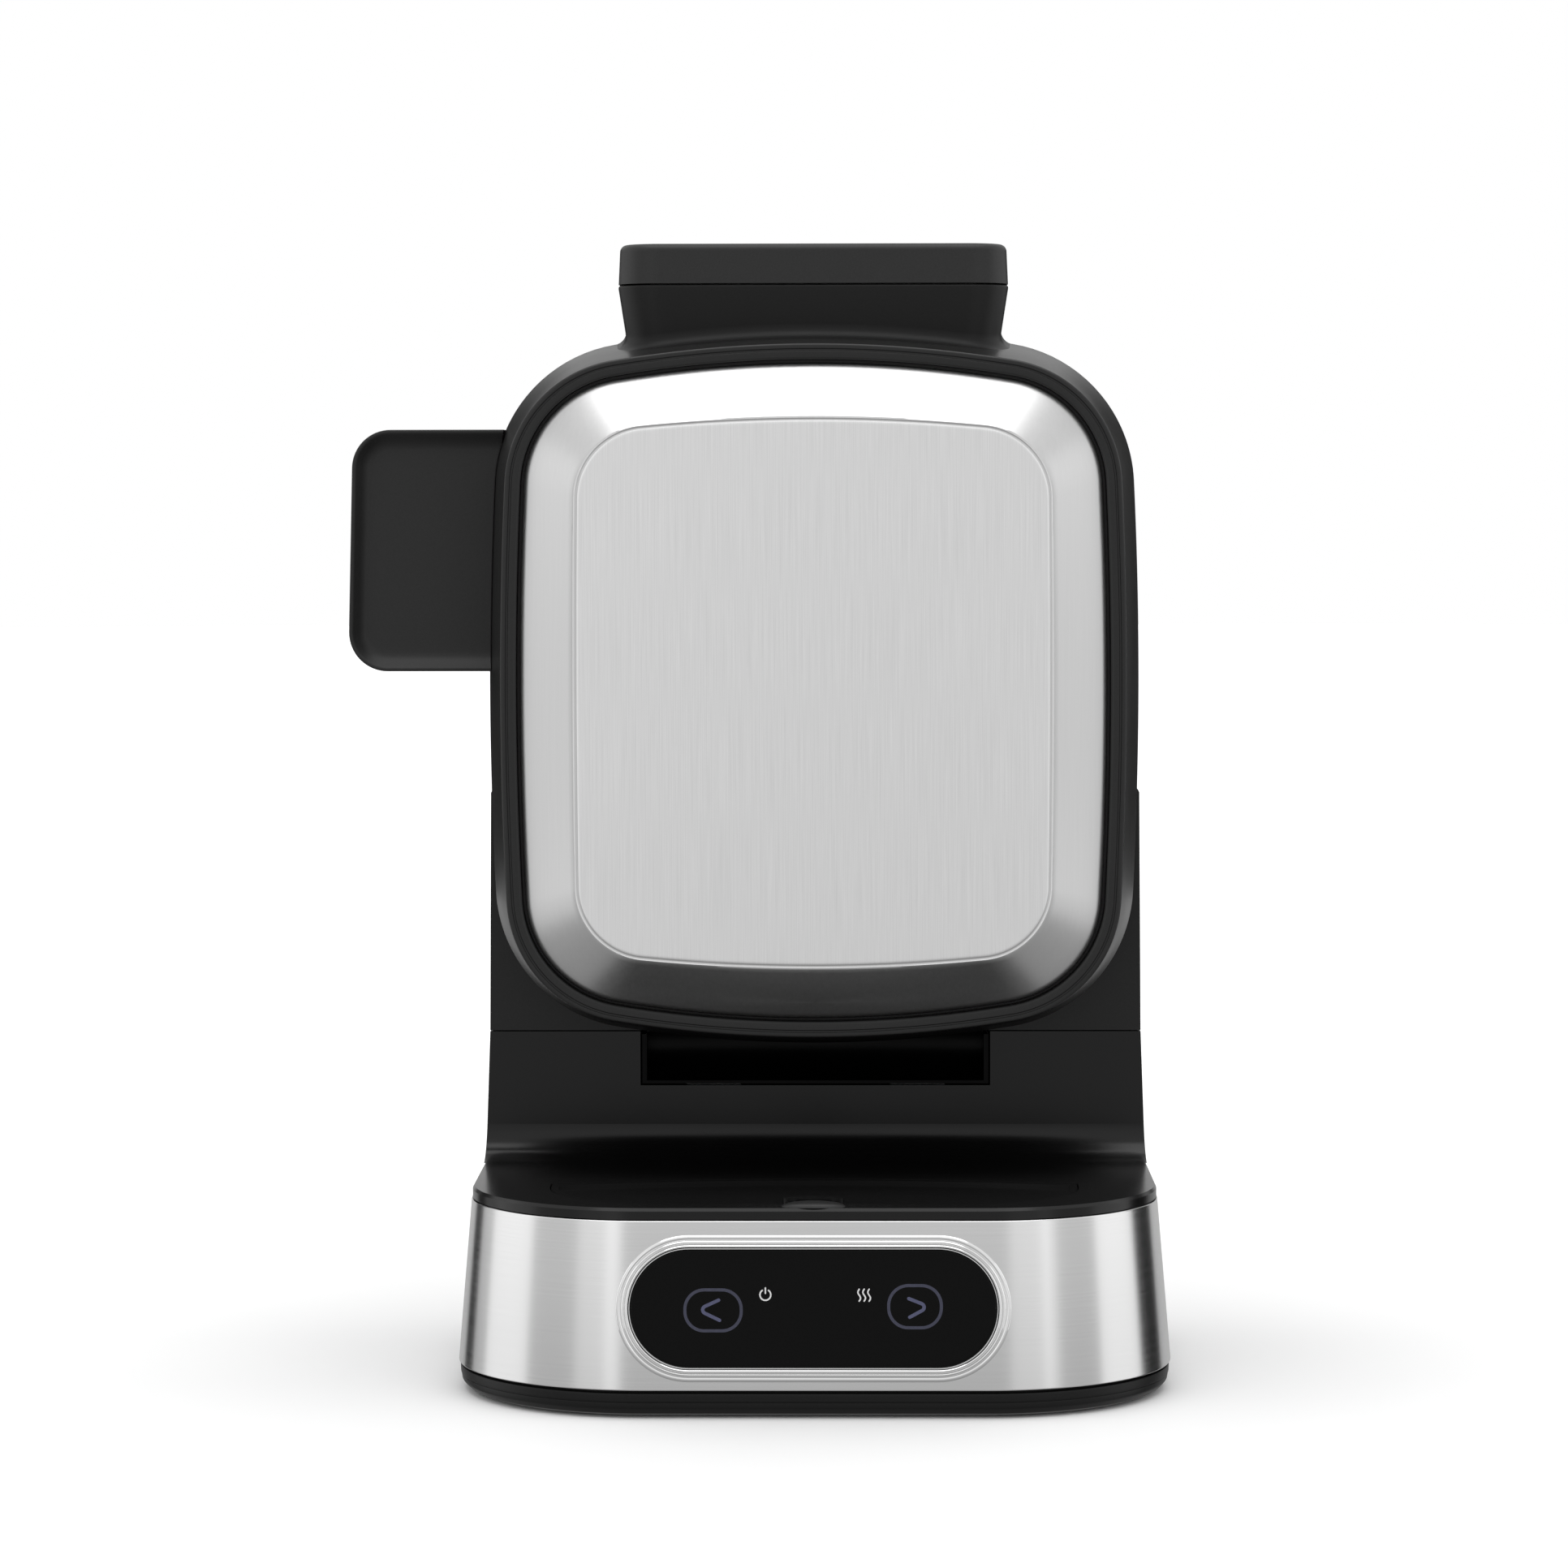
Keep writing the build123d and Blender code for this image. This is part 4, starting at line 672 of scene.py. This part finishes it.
# ------------------------------------------------------------ thumb tab of the drip tray
TAB_Y, TAB_HALF_W, TAB_HALF_D, TAB_RISE = -90.6, 10.4, 4.4, 1.9
TAB_LIFTS = (0.0, 0.3, 0.55, 0.75, 0.9, 0.98)


def tab_ring(lift):
    """Ring of the tab's flattened dome; lift runs from 0 at its foot to 1 at its crown."""
    spread = math.sqrt(1 - lift * lift)
    circle = arc_points((0, 0), spread, 0.0, 2 * math.pi, 48)
    return [(TAB_HALF_W * u, TAB_Y + TAB_HALF_D * v, DECK_Z + TAB_RISE * lift) for u, v in circle]


bm = bmesh.new()
skin(bm, [tab_ring(lift) for lift in TAB_LIFTS], caps=(True, True))
thumb_tab = make_object("thumb_tab", bm, smooth_angle=70)
paint(thumb_tab, M_LID)
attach(thumb_tab, "stand")

# ------------------------------------------------------------ control panel
def panel_ring(grow, lift):
    """The lens's outline grown by grow, at a height over the panel."""
    return [on_panel(u, v, lift) for u, v in stadium(LENS_W + 2 * grow, LENS_H + 2 * grow)]


def bead(start, end, base, crown, count=8):
    """Half-round bead of the bezel's profile between two offsets from the lens."""
    return [
        (start + (end - start) * i / count, base + (crown - base) * math.sin(math.pi * i / count))
        for i in range(count + 1)
    ]


bm = bmesh.new()
profile = [(0.25, -2.0), (0.25, 0.6)]
profile += bead(0.3, 1.55, 0.85, 1.55)
profile += bead(1.6, 2.75, 0.65, 1.15)
profile += bead(2.8, 4.4, 0.25, 0.65)
profile += [(4.5, 0.0), (4.5, -0.6)]
skin(bm, [panel_ring(grow, lift) for grow, lift in profile], loop=True)
bezel_beads = make_object("bezel_beads", bm, smooth_angle=50)
paint(bezel_beads, M_CHROME)
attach(bezel_beads, "stand")
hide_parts("bezel_ring")

bm = bmesh.new()
rings = [panel_ring(0.0, -2.0), panel_ring(0.0, -0.2)]
edge_angles = [math.radians(angle) for angle in (20, 40, 60, 75, 90)]
rings += [panel_ring(0.9 * (math.cos(a) - 1), -0.2 + 0.6 * math.sin(a)) for a in edge_angles]
rings += [panel_ring(-2.0, 0.4)]
skin(bm, rings, caps=(True, True))
touch_lens = make_object("touch_lens", bm, smooth_angle=60)
paint(touch_lens, M_LENS)
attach(touch_lens, "stand")
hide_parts("display_lens")


MARK_LOW, MARK_HIGH = 0.38, 0.46


def stroke(bm, points, half_width, closed=False):
    """Flat raised line of constant width with round ends, on the lens."""
    pts = [Vector(p) for p in points]
    n = len(pts)
    left, right = [], []
    for i, p in enumerate(pts):
        before = pts[i - 1] if (closed or i > 0) else None
        after = pts[(i + 1) % n] if (closed or i < n - 1) else None
        d1 = (p - before).normalized() if before is not None else (after - p).normalized()
        d2 = (after - p).normalized() if after is not None else d1
        tangent = (d1 + d2).normalized()
        normal = Vector((-tangent.y, tangent.x))
        reach = half_width / max(0.5, normal.dot(Vector((-d1.y, d1.x))))
        left.append(p + normal * reach)
        right.append(p - normal * reach)
    if closed:
        rings = []
        edges = ((left, MARK_LOW), (left, MARK_HIGH), (right, MARK_HIGH), (right, MARK_LOW))
        for side, lift in edges:
            rings.append([on_panel(q.x, q.y, lift) for q in side])
        skin(bm, rings, loop=True)
        return
    end, start = (pts[-1] - pts[-2]).normalized(), (pts[0] - pts[1]).normalized()
    outline = list(right)
    for centre, way in ((pts[-1], end), (pts[0], start)):
        angle = math.atan2(way.y, way.x)
        cap = arc_points(centre, half_width, angle - math.pi / 2, angle + math.pi / 2, 8)[1:]
        outline += [Vector(p) for p in cap]
        if centre is pts[-1]:
            outline += list(reversed(left))
    rings = [[on_panel(q[0], q[1], lift) for q in outline] for lift in (MARK_LOW, MARK_HIGH)]
    skin(bm, rings, caps=(True, True))


def bend(a, corner, b, radius, count=6):
    """Corner of a chevron rounded off."""
    return [a] + [tuple(p) for p in fillet_arc(corner, a, b, radius, count)] + [b]


def panel_marks(name, bm, mat):
    obj = make_object(name, bm)
    paint(obj, mat)
    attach(obj, "stand")


bm = bmesh.new()
for (u, v), width, high in (((-32.4, -0.5), 18.2, 13.2), ((32.8, 0.7), 17.0, 13.6)):
    outline = rounded_rect(width / 2, high / 2, (high * 0.47,) * 4, steps=12, edge=4)
    stroke(bm, [(u + x, v + y) for x, y in outline], 0.5, closed=True)
panel_marks("touch_outlines", bm, M_OVAL)

bm = bmesh.new()
for start, tip, end in (
    ((-30.6, 2.8), (-37.4, -0.3), (-30.3, -3.7)),
    ((30.8, 3.3), (37.4, 0.7), (31.1, -2.7)),
):
    stroke(bm, bend(start, tip, end, 1.2), 0.55)
panel_marks("touch_chevrons", bm, M_MARK)

bm = bmesh.new()
ICON_L, ICON_R = (-15.5, 4.5), (16.4, 4.4)
ring = arc_points((0, 0), 1.75, math.radians(125), math.radians(415), 28) + [
    (1.75 * math.cos(math.radians(55)), 1.75 * math.sin(math.radians(55)))
]
stroke(bm, [(ICON_L[0] + x, ICON_L[1] + y) for x, y in ring], 0.24)
stroke(bm, [(ICON_L[0], ICON_L[1] + 0.5), (ICON_L[0], ICON_L[1] + 2.2)], 0.24)
for shift in (-1.6, 0.0, 1.6):
    wave = [
        (ICON_R[0] + shift + 0.42 * math.sin(2 * math.pi * i / 16), ICON_R[1] - 1.9 + 3.8 * i / 16)
        for i in range(17)
    ]
    stroke(bm, wave, 0.24)
panel_marks("icon_marks", bm, M_ICON)

# ------------------------------------------------------------ camera
camera_data = bpy.data.cameras.new("photo_camera")
camera_data.lens = 114.67
camera_data.sensor_width = 36.0
camera = bpy.data.objects.new("photo_camera", camera_data)
SCENE.collection.objects.link(camera)
camera.location = (0.0099, -1.6975, 0.3019)
pitch, yaw, roll = math.radians(-3.446), math.radians(0.684), math.radians(-0.099)
turn, tip, tilt = (
    Matrix.Rotation(angle, 3, axis)
    for angle, axis in ((yaw, "Z"), (math.pi / 2 + pitch, "X"), (roll, "Z"))
)
camera.rotation_euler = (turn @ tip @ tilt).to_euler()
SCENE.camera = camera
camera_data.clip_end = 50.0


# ------------------------------------------------------------ studio
def softbox(name, place, target, size, radiance):
    data = bpy.data.lights.new(name, "AREA")
    data.shape = "RECTANGLE"
    data.size, data.size_y = size
    data.energy = radiance * math.pi * size[0] * size[1]
    light = bpy.data.objects.new(name, data)
    SCENE.collection.objects.link(light)
    light.location = place
    way = Vector(target) - Vector(place)
    light.rotation_euler = way.to_track_quat("-Z", "Y").to_euler()
    light.visible_camera = False
    return light


def card(name, place, target, size, value):
    """Flat card seen only in reflections."""
    mat = material(name + "_paint", grey(value), 0.9, specular=0.0)
    bm = bmesh.new()
    w, h = size[0] / 2, size[1] / 2
    corners = [bm.verts.new(p) for p in ((-w, -h, 0), (w, -h, 0), (w, h, 0), (-w, h, 0))]
    bm.faces.new(corners)
    obj = make_object(name, bm)
    paint(obj, mat)
    obj.location = place
    way = Vector(target) - Vector(place)
    obj.rotation_euler = way.to_track_quat("Z", "Y").to_euler()
    obj.visible_camera = False
    obj.visible_shadow = False
    obj.visible_diffuse = False
    return obj


AIM = (0.0, 0.0, 0.2)
softbox("top_softbox", (0.0, -0.35, 1.9), (0.0, -0.05, 0.2), (1.8, 1.4), 1.5)


def polar(angle, distance, z, x=0.0, y=0.0):
    """Point at an angle from the front about (x, y); positive angles are to the right."""
    a = math.radians(angle)
    return (x + math.sin(a) * distance, y - math.cos(a) * distance, z)


for label, sign, peak, flag_angle, flag_width in (
    ("left", -1, 21, 141, 0.13),
    ("right", 1, 43, 128, 0.24),
):
    corner = (sign * 0.105, -0.085)
    softbox(label + "_softbox", polar(sign * 94, 1.9, 0.3), AIM, (1.3, 2.0), 0.50)
    softbox(label + "_fill", polar(sign * 31, 2.1, 0.3), AIM, (0.96, 1.5), 0.24)
    softbox(label + "_strip", polar(sign * peak, 2.05, 0.3), AIM, (0.34, 1.5), 0.28)
    place = polar(sign * flag_angle, 0.5, 0.0, *corner)
    card(label + "_flag", place, (corner[0], corner[1], 0.0), (flag_width, 0.6), 0.01)
    place = polar(sign * 160, 0.5, 0.30, sign * 0.107, -0.035)
    card(label + "_rear_flag", place, (sign * 0.107, -0.035, 0.30), (0.22, 0.36), 0.01)

world = bpy.data.worlds.new("studio_world")
world.use_nodes = True
SCENE.world = world
tree = world.node_tree
background = tree.nodes["Background"]
background.inputs["Color"].default_value = (1, 1, 1, 1)
direction = tree.nodes.new("ShaderNodeTexCoord")
split = tree.nodes.new("ShaderNodeSeparateXYZ")
tree.links.new(direction.outputs["Generated"], split.inputs["Vector"])
sky = tree.nodes.new("ShaderNodeValToRGB")
height = tree.nodes.new("ShaderNodeMapRange")
height.inputs["From Min"].default_value = -1.0
tree.links.new(split.outputs["Z"], height.inputs["Value"])
tree.links.new(height.outputs["Result"], sky.inputs["Fac"])
sky.color_ramp.elements[0].color = (*grey(0.30), 1)
sky.color_ramp.elements[1].color = (*grey(0.95), 1)
for position, value in ((0.42, 0.52), (0.5, 0.62), (0.62, 0.72)):
    sky.color_ramp.elements.new(position).color = (*grey(value), 1)
# a pure white backdrop for the eye, the graded studio for everything the light bounces off
backdrop = tree.nodes.new("ShaderNodeBackground")
seen = tree.nodes.new("ShaderNodeLightPath")
pick = tree.nodes.new("ShaderNodeMixShader")
tree.links.new(sky.outputs["Color"], background.inputs["Color"])
tree.links.new(seen.outputs["Is Camera Ray"], pick.inputs["Fac"])
tree.links.new(background.outputs["Background"], pick.inputs[1])
tree.links.new(backdrop.outputs["Background"], pick.inputs[2])
tree.links.new(pick.outputs["Shader"], tree.nodes["World Output"].inputs["Surface"])
backdrop.inputs["Color"].default_value = (1, 1, 1, 1)

M_FLOOR = material("studio_floor", grey(0.94), 0.8, specular=0.1)
vary_colour(M_FLOOR, noise_node(M_FLOOR, 3), grey(0.93), grey(0.95))
floor_shader = M_FLOOR.node_tree.nodes["Principled BSDF"]
floor_shader.inputs["Emission Color"].default_value = (1, 1, 1, 1)
# painted light on the floor: it glows more the farther it lies from the object, so the far floor reads
# white while the floor near the object keeps its own shading
place = M_FLOOR.node_tree.nodes.new("ShaderNodeTexCoord")
reach = M_FLOOR.node_tree.nodes.new("ShaderNodeVectorMath")
reach.operation = "LENGTH"
painted_floor_glow = M_FLOOR.node_tree.nodes.new("ShaderNodeMapRange")
painted_floor_glow.inputs["From Min"].default_value = 0.14
painted_floor_glow.inputs["From Max"].default_value = 1.2
painted_floor_glow.inputs["To Min"].default_value = 0.0
painted_floor_glow.inputs["To Max"].default_value = 0.55
wire(M_FLOOR, place, "Object", reach, 0)
wire(M_FLOOR, reach, "Value", painted_floor_glow, "Value")
wire(M_FLOOR, painted_floor_glow, "Result", floor_shader, "Emission Strength")
bm = bmesh.new()
bmesh.ops.create_circle(bm, cap_ends=True, radius=9.0, segments=96)
floor = make_object("studio_floor", bm)
paint(floor, M_FLOOR)
floor.visible_glossy = False
floor.visible_diffuse = False

SCENE.view_settings.view_transform = "Standard"
SCENE.view_settings.look = "None"
